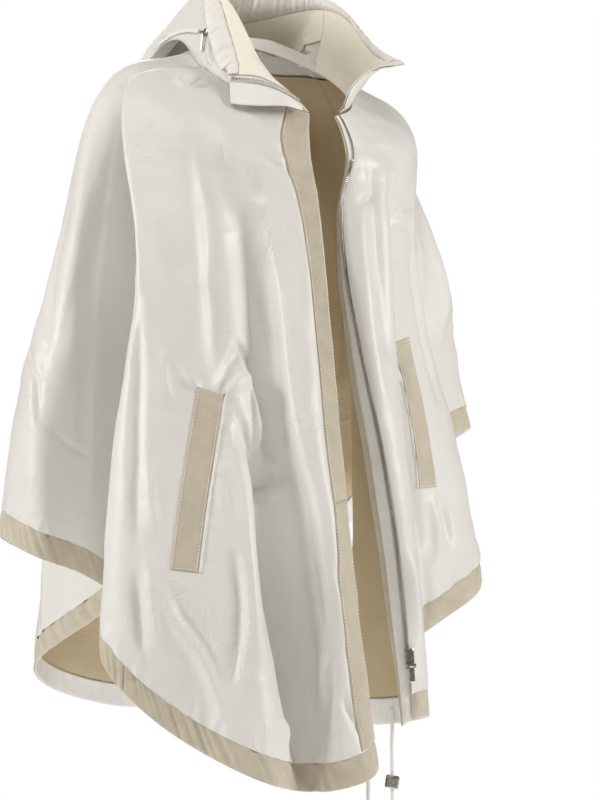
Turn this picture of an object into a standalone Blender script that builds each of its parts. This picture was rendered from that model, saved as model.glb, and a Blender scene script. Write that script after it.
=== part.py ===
"""A hooded cape worn open: shell, suede trim, lining, hood, zips, pockets and drawcords."""

import math

import bpy
import numpy as np
from mathutils import Matrix, Vector
from mathutils.bvhtree import BVHTree

for old in list(bpy.data.objects):
    bpy.data.objects.remove(old, do_unlink=True)

# The frame: metres, +Z up, the wearer faces -Y and the wearer's left is +X.
# The origin is the middle of the neck opening at the height of the shoulders.
MM = 0.001

# Thicknesses and widths of the cloth pieces
SHELL = 0.0018
LINING = 0.0010
BINDING_WIDE = 0.028
SEAM_GAP = 0.0006
GAP = SEAM_GAP / 2
BINDING_GAP = 0.0009
CAPE_STEP = 0.036
UNDER = 0.0004


def material(name, colour, roughness, metallic=0.0):
    made = bpy.data.materials.new(name)
    made.use_nodes = True
    shader = made.node_tree.nodes["Principled BSDF"]
    shader.inputs["Base Color"].default_value = (*colour, 1.0)
    shader.inputs["Roughness"].default_value = roughness
    shader.inputs["Metallic"].default_value = metallic
    return made


CREAM_SHELL = ((0.83, 0.80, 0.74), 0.42)
SUEDE = ((0.60, 0.54, 0.42), 0.85)
GOLD_LINING = ((0.55, 0.42, 0.26), 0.55)
WHITE_TAPE = ((0.84, 0.83, 0.79), 0.5)
NICKEL = ((0.62, 0.61, 0.58), 0.28, 1.0)
CORD_WHITE = ((0.85, 0.84, 0.80), 0.7)


class Curve:
    """A natural cubic spline through rows of values at rising knots, straight beyond its ends."""

    def __init__(self, knots, rows):
        self.knots = np.asarray(knots, float)
        rows = np.asarray(rows, float)
        self.tail = rows.shape[1:]
        self.rows = rows.reshape(len(rows), -1)
        step = np.diff(self.knots)
        count = len(self.knots)
        grid = np.eye(count)
        right = np.zeros_like(self.rows)
        for k in range(1, count - 1):
            grid[k, k - 1] = step[k - 1]
            grid[k, k] = 2 * (step[k - 1] + step[k])
            grid[k, k + 1] = step[k]
            after = (self.rows[k + 1] - self.rows[k]) / step[k]
            before = (self.rows[k] - self.rows[k - 1]) / step[k - 1]
            right[k] = 6 * (after - before)
        self.bend = np.linalg.solve(grid, right)

    def __call__(self, at):
        at = np.asarray(at, float)
        flat = np.clip(at.ravel(), self.knots[0], self.knots[-1])
        k = np.clip(np.searchsorted(self.knots, flat) - 1, 0, len(self.knots) - 2)
        step = self.knots[k + 1] - self.knots[k]
        b = ((flat - self.knots[k]) / step)[:, None]
        a = 1 - b
        low = self.rows[k]
        high = self.rows[k + 1]
        curve = ((a**3 - a) * self.bend[k] + (b**3 - b) * self.bend[k + 1]) * (step[:, None] ** 2) / 6
        found = a * low + b * high + curve
        return found.reshape(at.shape + self.tail)


# The neck seam: an oval round the neck that stands higher at the back
NECK_HALF_WIDE = 0.080
NECK_FRONT = 0.098
NECK_BACK = 0.088
NECK_MID_Y = -0.003
NECK_TILT = 0.51
NECK_MID_Z = -0.004


def neck_seam(turn):
    """A point of the neck seam. The turn is in degrees from the front towards the wearer's right."""
    angle = np.radians(np.asarray(turn, float))
    deep = np.where(np.cos(angle) > 0, NECK_FRONT, NECK_BACK)
    x = -NECK_HALF_WIDE * np.sin(angle)
    y = NECK_MID_Y - deep * np.cos(angle)
    return np.stack([x, y, NECK_MID_Z + NECK_TILT * y], axis=-1)


# The shoulder ring of the cape. Columns: turn, distance from the middle, height (mm)
SHOULDER_ROWS = (
    (-24, 113, -88),
    (0, 107, -92),
    (25, 117, -87),
    (45, 133, -77),
    (60, 148, -64),
    (75, 163, -40),
    (90, 172, -17),
    (105, 169, -6),
    (120, 161, -6),
    (140, 147, -16),
    (160, 133, -24),
    (180, 127, -28),
    (200, 133, -26),
    (220, 147, -18),
    (240, 158, -14),
    (255, 163, -18),
    (270, 164, -29),
    (285, 160, -48),
    (300, 149, -66),
    (315, 133, -78),
    (335, 115, -88),
    (360, 107, -92),
)
shoulder_curve = Curve([row[0] for row in SHOULDER_ROWS], [row[1:] for row in SHOULDER_ROWS])

# The cape from the right front edge round the back to the left front edge, a row for each fold.
# Columns: name, turn at neck and shoulder, chest x y (at height -150), mid x y z, hem x y z (mm)
CHEST_Z = -150
FOLD_ROWS = (
    ("right_edge", 11, -27, -131, -53, -212, -431, -54, -268, -714),
    ("placket_seam", 28, -50, -127, -77, -217, -436, -81, -286, -722),
    ("front_ridge", 37, -67, -122, -94, -211, -439, -110, -272, -730),
    ("front_valley", 44, -84, -115, -108, -189, -442, -119, -240, -734),
    ("pocket_ridge", 52, -104, -109, -140, -193, -436, -168, -255, -722),
    ("front_mid", 63, -135, -98, -178, -168, -423, -213, -217, -696),
    ("front_side", 76, -170, -83, -219, -139, -405, -254, -175, -660),
    ("side_ridge", 89, -207, -55, -243, -93, -376, -274, -113, -603),
    ("side_valley", 94, -193, -25, -192, -36, -357, -196, -29, -562),
    ("wing_front", 99, -211, -4, -226, -15, -343, -232, -15, -534),
    ("wing_mid", 105, -221, 16, -270, -6, -332, -285, -18, -515),
    ("wing_side", 114, -219, 50, -271, 47, -323, -292, 58, -496),
    ("wing_back", 125, -188, 90, -212, 108, -335, -221, 118, -519),
    ("back_valley_right", 137, -144, 116, -130, 126, -355, -122, 114, -562),
    ("back_ridge_right", 149, -108, 148, -136, 208, -400, -143, 247, -645),
    ("back_right", 165, -56, 170, -64, 258, -428, -46, 330, -706),
    ("back_mid", 182, 4, 163, 2, 234, -438, 12, 302, -718),
    ("back_left", 198, 58, 169, 70, 258, -431, 78, 330, -712),
    ("back_ridge_left", 211, 110, 147, 150, 208, -400, 166, 248, -645),
    ("back_valley_left", 223, 144, 118, 152, 140, -352, 168, 152, -564),
    ("left_wing_back", 238, 190, 92, 236, 126, -302, 264, 158, -468),
    ("left_wing_side", 252, 228, 27, 297, 54, -269, 336, 71, -388),
    ("left_side_valley", 267, 186, -16, 205, 14, -298, 226, 26, -447),
    ("left_side_ridge", 283, 152, -56, 210, -38, -348, 242, -60, -546),
    ("left_mid", 299, 104, -84, 132, -84, -382, 157, -98, -595),
    ("left_valley", 318, 66, -104, 44, -102, -421, 38, -112, -692),
    ("left_ridge", 331, 56, -126, 52, -177, -417, 71, -190, -681),
    ("left_edge", 341, 14, -120, 14, -193, -417, 33, -212, -680),
    ("guard_edge", 344, 12, -113, 3, -180, -418, 25, -207, -686),
    ("facing_edge", 347, 10, -100, -4, -157, -418, 22, -200, -688),
)
LEVELS = np.array([0.0, 0.11, 0.27, 0.63, 1.0])
names = [row[0] for row in FOLD_ROWS]
turns = np.array([row[1] for row in FOLD_ROWS], float)
table = np.array([row[2:] for row in FOLD_ROWS], float) * MM
neck_points = neck_seam(turns)
shoulder_rows = shoulder_curve(turns) * MM
shoulder_points = np.stack(
    [
        -shoulder_rows[:, 0] * np.sin(np.radians(turns)),
        -shoulder_rows[:, 0] * np.cos(np.radians(turns)),
        shoulder_rows[:, 1],
    ],
    axis=-1,
)
chest_points = np.column_stack([table[:, 0], table[:, 1], np.full(len(table), CHEST_Z * MM)])
mid_points = table[:, 2:5]
hem_points = table[:, 5:8]
steps = 0.6 * np.linalg.norm(np.diff(hem_points, axis=0), axis=1)
steps += 0.4 * np.linalg.norm(np.diff(mid_points, axis=0), axis=1)
ALONG = np.concatenate([[0], np.cumsum(steps)])
cape_rows = Curve(
    ALONG,
    np.stack([neck_points, shoulder_points, chest_points, mid_points, hem_points], axis=1),
)


def along(name, extra=0.0):
    """How far round the cape a row of the table stands, in metres of hem, with an extra distance."""
    return float(ALONG[names.index(name)] + extra)


def cape_at(s, v):
    """Points of the cape's inner face. s is the way round, v runs from the neck (0) to the hem (1)."""
    s, v = np.broadcast_arrays(np.asarray(s, float), np.asarray(v, float))
    flat_s = s.ravel()
    flat_v = v.ravel()
    rows = np.moveaxis(cape_rows(flat_s), 1, 0)
    down = Curve(LEVELS, rows)
    k = np.clip(np.searchsorted(LEVELS, flat_v) - 1, 0, len(LEVELS) - 2)
    step = LEVELS[k + 1] - LEVELS[k]
    b = ((flat_v - LEVELS[k]) / step)[:, None]
    a = 1 - b
    every = np.arange(len(flat_v))
    bend = down.bend.reshape(len(LEVELS), len(flat_v), 3)
    curve = ((a**3 - a) * bend[k, every] + (b**3 - b) * bend[k + 1, every]) * (step[:, None] ** 2) / 6
    found = a * rows[k, every] + b * rows[k + 1, every] + curve
    return found.reshape(s.shape + (3,))


def normals_of(surface, s, v, side=1.0):
    """Unit normals of a surface function by small steps. The side turns them outwards."""
    across = surface(s + 0.0015, v) - surface(s - 0.0015, v)
    down = surface(s, v + 0.002) - surface(s, v - 0.002)
    found = np.cross(across, down) * side
    return found / np.linalg.norm(found, axis=-1, keepdims=True)


def finish(obj, look, smooth=True):
    obj.data.materials.append(material(obj.name, *look))
    for face in obj.data.polygons:
        face.use_smooth = smooth
    return obj


def shell_mesh(name, outer, inner, look):
    """A closed wall from two grids of points, outer and inner, in triangles with one diagonal."""
    rows, columns = outer.shape[:2]
    points = np.concatenate([outer.reshape(-1, 3), inner.reshape(-1, 3)])
    here = np.arange(rows * columns).reshape(rows, columns)
    faces = []
    for i in range(rows - 1):
        for j in range(columns - 1):
            a, b, c, d = here[i, j], here[i + 1, j], here[i + 1, j + 1], here[i, j + 1]
            faces += [(a, b, c), (a, c, d)]
    half = len(faces)
    back = rows * columns
    faces += [(a + back, c + back, b + back) for a, b, c in faces[:half]]
    rim = list(here[:, 0]) + list(here[-1, 1:]) + list(here[-2::-1, -1]) + list(here[0, -2:0:-1])
    for one, two in zip(rim, rim[1:] + rim[:1]):
        faces += [(two, one, one + back), (two, one + back, two + back)]
    faces = np.array(faces)
    corners = points[faces]
    if np.linalg.det(corners).sum() < 0:
        faces = faces[:, ::-1]
    mesh = bpy.data.meshes.new(name)
    mesh.from_pydata(points.tolist(), [], faces.tolist())
    mesh.validate()
    obj = bpy.data.objects.new(name, mesh)
    bpy.context.scene.collection.objects.link(obj)
    return finish(obj, look)


def wall(name, surface, s, v, low, high, look, side=1.0):
    """A wall on a surface function, from low to high metres out of it. v has a row for each s, or one."""
    s = np.asarray(s, float)
    v = np.asarray(v, float)
    if v.ndim == 1:
        v = np.broadcast_to(v, (len(s), len(v)))
    if s.ndim == 1:
        s = np.broadcast_to(s[:, None], v.shape)
    base = surface(s, v)
    out = normals_of(surface, s, v, side)
    return shell_mesh(name, base + out * high, base + out * low, look)


def metres_up(s, metres, square=0.0):
    """The v that lies this far up from the hem, and a distance measured square to the hem more."""
    down = cape_at(s, np.full_like(s, 1.0)) - cape_at(s, np.full_like(s, 0.97))
    step = np.linalg.norm(down, axis=-1)
    hem = cape_at(s + 0.001, np.full_like(s, 0.98)) - cape_at(s - 0.001, np.full_like(s, 0.98))
    hem /= np.linalg.norm(hem, axis=-1, keepdims=True)
    slant = np.linalg.norm(np.cross(down / step[:, None], hem), axis=-1)
    return 1 - (metres + square / slant) / step * 0.03


def seamed(s, v):
    """The grid of s for a panel whose two side seams keep half the seam gap from neck to hem."""
    grid = np.repeat(s[:, None], v.shape[1], axis=1)
    for column, turn in ((0, 1), (-1, -1)):
        wide = np.linalg.norm(cape_at(grid[column] + 0.001, v[column]) - cape_at(grid[column], v[column]), axis=-1)
        grid[column] += turn * GAP / (wide / 0.001)
    return grid


def between(start, end, most):
    """Distances round the cape: the shared columns between the two and steps of at most this size."""
    inside = [x for x in SHARED if start + 0.004 < x < end - 0.004]
    marks = [start, *inside, end]
    found = [start]
    for one, two in zip(marks, marks[1:]):
        count = max(1, math.ceil((two - one) / most))
        found += [one + (two - one) * k / count for k in range(1, count + 1)]
    return np.array(found)


# Where the cape's pieces start and end, round the hem
RIGHT_EDGE = along("right_edge")
PLACKET_SEAM = along("placket_seam")
BINDING_JOINT = along("front_side", 0.030)
RIGHT_SEAM = along("wing_back", -0.020)
LEFT_SEAM = along("left_wing_back", 0.020)
LEFT_EDGE = along("left_edge")
GUARD_EDGE = along("guard_edge")
FACING_EDGE = along("facing_edge", -0.009)
LINED_LEFT_END = LEFT_EDGE - 0.025
# Columns that every layer has, so that no layer's flat faces cut into the next
SHARED = sorted([*ALONG, BINDING_JOINT, LINED_LEFT_END, LEFT_EDGE - 0.014, LEFT_EDGE - 0.007])

DOWN = np.array([0.0, 0.06, 0.13, 0.2, 0.29, 0.39, 0.49, 0.58, 0.68, 0.79, 0.915, 1.0])
NECK_START = 0.0028


def shell_rows(s, top=NECK_START):
    """v values of a shell panel for each s: from just below the neck seam to the binding."""
    bottom = metres_up(s, BINDING_WIDE, BINDING_GAP)
    return top + DOWN[None, :] * (bottom - top)[:, None]


def band_rows(s, low_metres, high_metres, parts=1):
    """v values of a band along the hem, between two distances up from it."""
    top = metres_up(s, high_metres)
    bottom = metres_up(s, low_metres)
    t = np.linspace(0, 1, parts + 1)
    return top[:, None] + t[None, :] * (bottom - top)[:, None]


# Shell panels: right front, back and left front
panels = (
    ("right_front", PLACKET_SEAM, RIGHT_SEAM),
    ("back", RIGHT_SEAM, LEFT_SEAM),
    ("left_front", LEFT_SEAM, LEFT_EDGE),
)
shells = {}
for name, start, end in panels:
    s = between(start, end, CAPE_STEP)
    rows = shell_rows(s)
    shells[name] = wall(name, cape_at, seamed(s, rows), rows, 0.0, SHELL, CREAM_SHELL)

# The suede placket on the right front edge, cut in two with a cross seam, over the zip
CROSS_SEAM_ROW = 8
s = np.linspace(RIGHT_EDGE, PLACKET_SEAM, 3)
rows = shell_rows(s)
upper = rows[:, : CROSS_SEAM_ROW + 1].copy()
upper[:, -1] -= 0.0006
wall("right_placket_upper", cape_at, seamed(s, upper), upper, 0.0, SHELL + 0.0004, SUEDE)
lower = rows[:, CROSS_SEAM_ROW:].copy()
lower[:, 0] += 0.0006
wall("right_placket_lower", cape_at, seamed(s, lower), lower, 0.0, SHELL + 0.0004, SUEDE)

# Suede bindings of the hem
bindings = (
    ("right_front_binding", RIGHT_EDGE, BINDING_JOINT),
    ("right_side_binding", BINDING_JOINT, RIGHT_SEAM),
    ("back_binding", RIGHT_SEAM, LEFT_SEAM),
    ("left_front_binding", LEFT_SEAM, LEFT_EDGE),
)
for name, start, end in bindings:
    s = between(start, end, CAPE_STEP)
    rows = band_rows(s, 0.0, BINDING_WIDE)
    wall(name, cape_at, seamed(s, rows), rows, 0.0, SHELL + 0.0004, SUEDE)

# Lining and the white facing along the inside of the hem, where they show: back and left front
linings = (
    ("back", RIGHT_SEAM, LEFT_SEAM),
    ("left_front", LEFT_SEAM, LINED_LEFT_END),
)
for name, start, end in linings:
    s = between(start, end, CAPE_STEP)
    rows = shell_rows(s)[:, 1:]
    wall(name + "_lining", cape_at, seamed(s, rows), rows, -LINING - UNDER, -UNDER, GOLD_LINING)
    rows = band_rows(s, 0.0, BINDING_WIDE)
    wall(name + "_hem_facing", cape_at, seamed(s, rows), rows, -LINING - UNDER, -UNDER, WHITE_TAPE)

# Left front edge: zip tape and chain, the white guard behind it, the suede facing inside
def edge_rows(s, first, last=None):
    """Rows of the strips along the left edge: the shell's own rows, then the binding's."""
    rows = np.concatenate([shell_rows(s), band_rows(s, 0.0, BINDING_WIDE)], axis=1)
    return rows[:, first:last]


ZIP_TOP_ROW = 2
ZIP_END_ROW = 11
s = np.array([LEFT_EDGE - 0.007, LEFT_EDGE, LEFT_EDGE + 0.0048])
wall("left_zip_tape", cape_at, s, edge_rows(s, ZIP_TOP_ROW, ZIP_END_ROW), -UNDER - 0.0008, -UNDER, WHITE_TAPE)
s = np.array([LEFT_EDGE + 0.0006, LEFT_EDGE + 0.0048])
wall("left_zip_chain", cape_at, s, edge_rows(s, ZIP_TOP_ROW, ZIP_END_ROW), 0.0, 0.0022, NICKEL)
s = np.array([LEFT_EDGE - 0.014, LEFT_EDGE - 0.007, LEFT_EDGE, 0.5 * (LEFT_EDGE + GUARD_EDGE), GUARD_EDGE])
wall("left_zip_guard", cape_at, s, edge_rows(s, 1), -UNDER - 0.0022, -UNDER - 0.0012, WHITE_TAPE)
s = np.array([LINED_LEFT_END + 0.0006, *s, FACING_EDGE])
wall("left_facing", cape_at, s, edge_rows(s, 1), -UNDER - 0.0038, -UNDER - 0.0026, SUEDE)

# The hood with its collar, from the right zip edge round the neck to the left zip edge.
# Columns: name, neck turn, then x y z (mm) of the stand, low fold, outside, roll and free edge
HOOD_ROWS = (
    ("tab_edge", 10.5, -36, -106, -53, -56, -105, -51, -76, -99, -52, -88, -88, -51, -98, -76, -49),
    ("right_edge", 11, -38, -102, -43, -54, -97, -34, -68, -87, -28, -78, -74, -25, -86, -56, -23),
    ("right_front", 45, -56, -69, -27, -52, -63, -14, -52, -57, 0, -62, -52, 6, -81, -32, -7),
    ("right_side", 75, -75, -31, -6, -69, -33, 10, -60, -36, 28, -61, -29, 47, -82, -8, 36),
    ("right_back", 100, -82, 16, 16, -77, 18, 34, -67, 14, 56, -60, 10, 80, -74, 12, 72),
    ("hood_side", 122, -78, 52, 32, -85, 63, 36, -79, 66, 54, -62, 52, 86, -66, 40, 95),
    ("back_right", 145, -60, 86, 42, -84, 136, -12, -76, 138, 18, -50, 88, 72, -50, 66, 104),
    ("back", 180, 0, 112, 34, 0, 188, -92, 0, 204, -52, 0, 162, 42, 0, 114, 98),
    ("back_left", 216, 64, 82, 42, 98, 136, -8, 96, 140, 22, 80, 102, 64, 66, 72, 104),
    ("left_back", 255, 85, 26, 20, 92, 32, 34, 99, 34, 51, 101, 33, 72, 99, 36, 94),
    ("left_side", 285, 85, -31, -5, 94, -28, 14, 101, -24, 30, 107, -14, 50, 109, 2, 73),
    ("left_front", 315, 66, -72, -27, 78, -69, -12, 92, -63, 0, 103, -57, 14, 107, -50, 32),
    ("left_edge", 341, 31, -106, -42, 42, -107, -26, 62, -107, -8, 84, -106, -1, 106, -104, 3),
)
hood_names = [row[0] for row in HOOD_ROWS]
hood_table = np.array([row[2:] for row in HOOD_ROWS], float).reshape(len(HOOD_ROWS), 5, 3) * MM
hood_neck = neck_seam([row[1] for row in HOOD_ROWS])[:, None, :]
hood_grid = np.concatenate([hood_neck, hood_table], axis=1)
hood_steps = 0.5 * np.linalg.norm(np.diff(hood_grid[:, 0], axis=0), axis=1)
hood_steps += 0.5 * np.linalg.norm(np.diff(hood_grid[:, 3], axis=0), axis=1)
HOOD_ALONG = np.concatenate([[0], np.cumsum(hood_steps)])
HOOD_LEVELS = np.array([0.0, 0.18, 0.38, 0.58, 0.78, 1.0])
hood_rows = Curve(HOOD_ALONG, hood_grid)


def hood_at(s, w):
    """Points of the hood's outer face. s runs from the right edge to the left, w from neck to free edge."""
    s, w = np.broadcast_arrays(np.asarray(s, float), np.asarray(w, float))
    flat_w = w.ravel()
    rows = np.moveaxis(hood_rows(s.ravel()), 1, 0)
    up = Curve(HOOD_LEVELS, rows)
    k = np.clip(np.searchsorted(HOOD_LEVELS, flat_w) - 1, 0, len(HOOD_LEVELS) - 2)
    step = HOOD_LEVELS[k + 1] - HOOD_LEVELS[k]
    b = ((flat_w - HOOD_LEVELS[k]) / step)[:, None]
    a = 1 - b
    every = np.arange(len(flat_w))
    bend = up.bend.reshape(len(HOOD_LEVELS), len(flat_w), 3)
    curve = ((a**3 - a) * bend[k, every] + (b**3 - b) * bend[k + 1, every]) * (step[:, None] ** 2) / 6
    found = a * rows[k, every] + b * rows[k + 1, every] + curve
    return found.reshape(s.shape + (3,))


def hood_along(name, extra=0.0):
    return float(HOOD_ALONG[hood_names.index(name)] + extra)


HOOD_START = 0.008
CHANNEL_SEAM = 0.82
hood_s = [hood_along("right_edge"), hood_along("right_edge", 0.005)]
marks = [hood_s[-1], *HOOD_ALONG[2:-1], hood_along("left_edge", -0.012), hood_along("left_edge")]
for one, two in zip(marks, marks[1:]):
    count = max(1, math.ceil((two - one) / 0.026))
    hood_s += [one + (two - one) * k / count for k in range(1, count + 1)]
hood_s = np.array(hood_s)
hood_w = np.array([HOOD_START, 0.11, 0.22, 0.32, 0.42, 0.52, 0.63, 0.73, CHANNEL_SEAM, 0.91, 1.0])
wall("hood_shell", hood_at, hood_s, hood_w, -SHELL, 0.0, CREAM_SHELL, -1.0)
lined = hood_w[hood_w <= CHANNEL_SEAM].copy()
lined[-1] -= 0.009
INSIDE = -SHELL - UNDER
# The suede inside of the hood is cut in three: right collar, back and left collar
first = int(np.argmin(abs(hood_s - hood_along("right_back"))))
last = int(np.argmin(abs(hood_s - hood_along("left_back"))))
HALF_SEAM = np.array([0.0003])
inside_pieces = (
    ("hood_facing_right", np.concatenate([hood_s[1:first], hood_s[first : first + 1] - HALF_SEAM]), lined),
    (
        "hood_facing_back",
        np.concatenate([hood_s[first : first + 1] + HALF_SEAM, hood_s[first + 1 : last], hood_s[last : last + 1] - HALF_SEAM]),
        lined[5:],
    ),
    ("hood_facing_left", np.concatenate([hood_s[last : last + 1] + HALF_SEAM, hood_s[last + 1 : -1]]), lined),
)
for name, s, w in inside_pieces:
    wall(name, hood_at, s, w, INSIDE - 0.0010, INSIDE, SUEDE, -1.0)
edged = hood_w[hood_w >= CHANNEL_SEAM]
wall("hood_channel", hood_at, hood_s[1:-1], edged, INSIDE - 0.0018, INSIDE, WHITE_TAPE, -1.0)

# White strips on the two open collar edges, and the right half of the zip beside its strip
rows = hood_w[1:]
s = np.array([hood_s[-2] + 0.0006, hood_s[-1]])
wall("left_collar_strip", hood_at, s, rows, INSIDE - 0.0012, INSIDE, WHITE_TAPE, -1.0)
s = np.array([hood_s[0], hood_s[1] - 0.0008])
wall("right_collar_zip", hood_at, s, rows, INSIDE - 0.0020, INSIDE, NICKEL, -1.0)
s = np.linspace(hood_along("tab_edge"), hood_along("right_edge") - 0.0006, 3)
wall("right_collar_tab", hood_at, s, rows, -SHELL, 0.0, WHITE_TAPE, -1.0)


def frame_of(surface, s, v, side=1.0):
    """Point, across, down and outward unit vectors of a surface, as the columns of a 4 by 4."""
    s = np.array([float(s)])
    v = np.array([float(v)])
    out = normals_of(surface, s, v, side)[0]
    down = (surface(s, v + 0.004) - surface(s, v - 0.004))[0]
    down -= out * down.dot(out)
    down /= np.linalg.norm(down)
    across = np.cross(down, out)
    made = np.eye(4)
    made[:3, 0] = across
    made[:3, 1] = down
    made[:3, 2] = out
    made[:3, 3] = surface(s, v)[0]
    return Matrix(made.tolist())


def tree_of(obj):
    points = [vertex.co.copy() for vertex in obj.data.vertices]
    return BVHTree.FromPolygons(points, [tuple(face.vertices) for face in obj.data.polygons])


# Pocket welts: suede strips laid on the fronts, with a narrow rolled edge beside each opening.
# Columns: name, panel, top s v, bottom s v, welt width, length steps, rolled edge side (mm for the width)
POCKET_ROWS = (
    ("right_pocket", "right_front", 0.2031, 0.5313, 0.2183, 0.7744, 27, -1),
    ("left_pocket", "left_front", 1.9752, 0.4887, 1.9879, 0.7444, 27, 1),
)
WELT_LIFT = 0.0007
for name, panel, top_s, top_v, low_s, low_v, wide, edge_side in POCKET_ROWS:
    tree = tree_of(shells[panel])
    u = np.linspace(0, 1, 11)
    s = top_s + (low_s - top_s) * u
    v = top_v + (low_v - top_v) * u
    middle = cape_at(s, v)
    out = normals_of(cape_at, s, v)
    run = np.gradient(middle, axis=0)
    across = np.cross(run, out)
    across /= np.linalg.norm(across, axis=-1, keepdims=True)
    strips = (
        (name + "_welt", np.linspace(-0.5, 0.5, 4) * wide * MM, 0.0016, SUEDE),
        (name + "_edge", edge_side * (0.5 * wide + np.array([1.2, 3.6])) * MM, 0.0014, CREAM_SHELL),
    )
    for strip, offsets, thick, look in strips:
        low = np.zeros((len(u), len(offsets), 3))
        high = np.zeros_like(low)
        for i in range(len(u)):
            for j, offset in enumerate(offsets):
                wanted = middle[i] + across[i] * offset + out[i] * 0.004
                place, normal = tree.find_nearest(Vector(wanted))[:2]
                low[i, j] = np.array(place) + out[i] * WELT_LIFT
                high[i, j] = low[i, j] + out[i] * thick
        shell_mesh(strip, high, low, look)


def box(name, low, high, frame, look, bevel=0.0, segments=2):
    """A box given by two corners in a local frame, with rounded edges."""
    corners = [(x, y, z) for x in (low[0], high[0]) for y in (low[1], high[1]) for z in (low[2], high[2])]
    faces = [(0, 1, 3, 2), (4, 6, 7, 5), (0, 4, 5, 1), (2, 3, 7, 6), (0, 2, 6, 4), (1, 5, 7, 3)]
    mesh = bpy.data.meshes.new(name)
    mesh.from_pydata([tuple(c * MM for c in corner) for corner in corners], [], faces)
    obj = bpy.data.objects.new(name, mesh)
    bpy.context.scene.collection.objects.link(obj)
    obj.matrix_world = frame
    if bevel:
        rounded = obj.modifiers.new("Rounded", "BEVEL")
        rounded.width = bevel * MM
        rounded.segments = segments
        rounded.limit_method = "ANGLE"
    return finish(obj, look)


def rod(name, start, end, radius, frame, look, sides=16, hole=0.0):
    """A round bar, or a tube when it has a hole, between two points of a local frame, in mm."""
    start = Vector(start) * MM
    end = Vector(end) * MM
    axis = (end - start).normalized()
    side = axis.orthogonal().normalized()
    other = axis.cross(side)
    rings = []
    for place in (start, end):
        for size in (radius, hole) if hole else (radius,):
            angles = [2 * math.pi * k / sides for k in range(sides)]
            rings.append([place + (side * math.cos(a) + other * math.sin(a)) * size * MM for a in angles])
    points = [tuple(point) for ring in rings for point in ring]
    faces = []
    for k in range(sides):
        n = (k + 1) % sides
        if hole:
            a, b, c, d = k, n, sides + k, sides + n
            e, f, g, h = 2 * sides + k, 2 * sides + n, 3 * sides + k, 3 * sides + n
            faces += [(a, b, f, e), (c, g, h, d), (a, c, d, b), (e, f, h, g)]
        else:
            faces.append((k, n, sides + n, sides + k))
    if not hole:
        faces += [tuple(range(sides))[::-1], tuple(range(sides, 2 * sides))]
    mesh = bpy.data.meshes.new(name)
    mesh.from_pydata(points, [], faces)
    obj = bpy.data.objects.new(name, mesh)
    bpy.context.scene.collection.objects.link(obj)
    obj.matrix_world = frame
    return finish(obj, look)


def join_into(obj, others):
    """Joins helper bodies into one by Boolean union and hides the helpers."""
    for other in others:
        union = obj.modifiers.new("Join", "BOOLEAN")
        union.operation = "UNION"
        union.solver = "EXACT"
        union.object = other
        other.hide_render = True
        other.display_type = "WIRE"
        other.name = "helper_" + other.name
    return obj


# The main zip's slider at the foot of the left edge, and its pull tab on a bar
slider_frame = frame_of(cape_at, LEFT_EDGE + 0.001, 0.905)
body = box("left_zip_slider", (-5, -11, 2.6), (5, 10, 7.0), slider_frame, NICKEL, 1.4)
posts = [
    box("post_a", (-4.6, 3.6, 6.0), (-3.2, 7.4, 11.6), slider_frame, NICKEL),
    box("post_b", (3.2, 3.6, 6.0), (4.6, 7.4, 11.6), slider_frame, NICKEL),
    rod("bar", (-3.9, 5.5, 10.0), (3.9, 5.5, 10.0), 0.8, slider_frame, NICKEL),
]
join_into(body, posts)
eye = rod("left_zip_pull", (-2.4, 5.5, 10.0), (2.4, 5.5, 10.0), 2.2, slider_frame, NICKEL, 20, 1.3)
plate = box("plate", (-2.9, 7.2, 9.3), (2.9, 22.0, 10.7), slider_frame, NICKEL, 0.5, 1)
join_into(eye, [plate])

# The hood zip beside the neck: a strip of chain, its slider and its narrow pull bar
zip_s = np.linspace(hood_along("right_back", 0.002), hood_along("hood_side", 0.012), 5)
HOOD_ZIP_W = 0.43
hood_tree = tree_of(bpy.data.objects["hood_shell"])
low = np.zeros((len(zip_s), 2, 3))
high = np.zeros_like(low)
for i, one in enumerate(zip_s):
    frame = frame_of(hood_at, one, HOOD_ZIP_W, -1.0)
    out = frame.col[2].to_3d()
    for j, offset in enumerate((-0.0022, 0.0022)):
        place = hood_tree.find_nearest(frame.translation + frame.col[1].to_3d() * offset)[0]
        low[i, j] = place + out * 0.0006
        high[i, j] = place + out * 0.0024
shell_mesh("hood_zip_chain", high, low, NICKEL)
pull_frame = frame_of(hood_at, hood_along("right_back", -0.010), HOOD_ZIP_W, -1.0)
down_here = pull_frame.inverted().to_3x3() @ Vector((0, 0, -1))
turn_down = math.atan2(-down_here.x, down_here.y)
pull_frame = pull_frame @ Matrix.Rotation(turn_down, 4, "Z")
body = box("hood_zip_slider", (-3.2, -4.5, 1.0), (3.2, 4.5, 4.6), pull_frame, NICKEL, 1.0)
posts = [
    box("post_c", (-2.8, 0.6, 4.0), (-1.9, 3.4, 8.2), pull_frame, NICKEL),
    box("post_d", (1.9, 0.6, 4.0), (2.8, 3.4, 8.2), pull_frame, NICKEL),
    rod("bar_b", (-2.3, 2.0, 7.0), (2.3, 2.0, 7.0), 0.6, pull_frame, NICKEL, 12),
]
join_into(body, posts)
hang_frame = pull_frame @ Matrix.Translation(Vector((0, 2.0, 7.0)) * MM) @ Matrix.Rotation(math.radians(-18), 4, "X")
eye = rod("hood_zip_pull", (-1.4, 0, 0), (1.4, 0, 0), 1.8, hang_frame, NICKEL, 16, 1.0)
plate = box("plate_b", (-1.6, 1.4, -0.7), (1.6, 20.0, 0.7), hang_frame, NICKEL, 0.5, 1)
join_into(eye, [plate])


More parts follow.
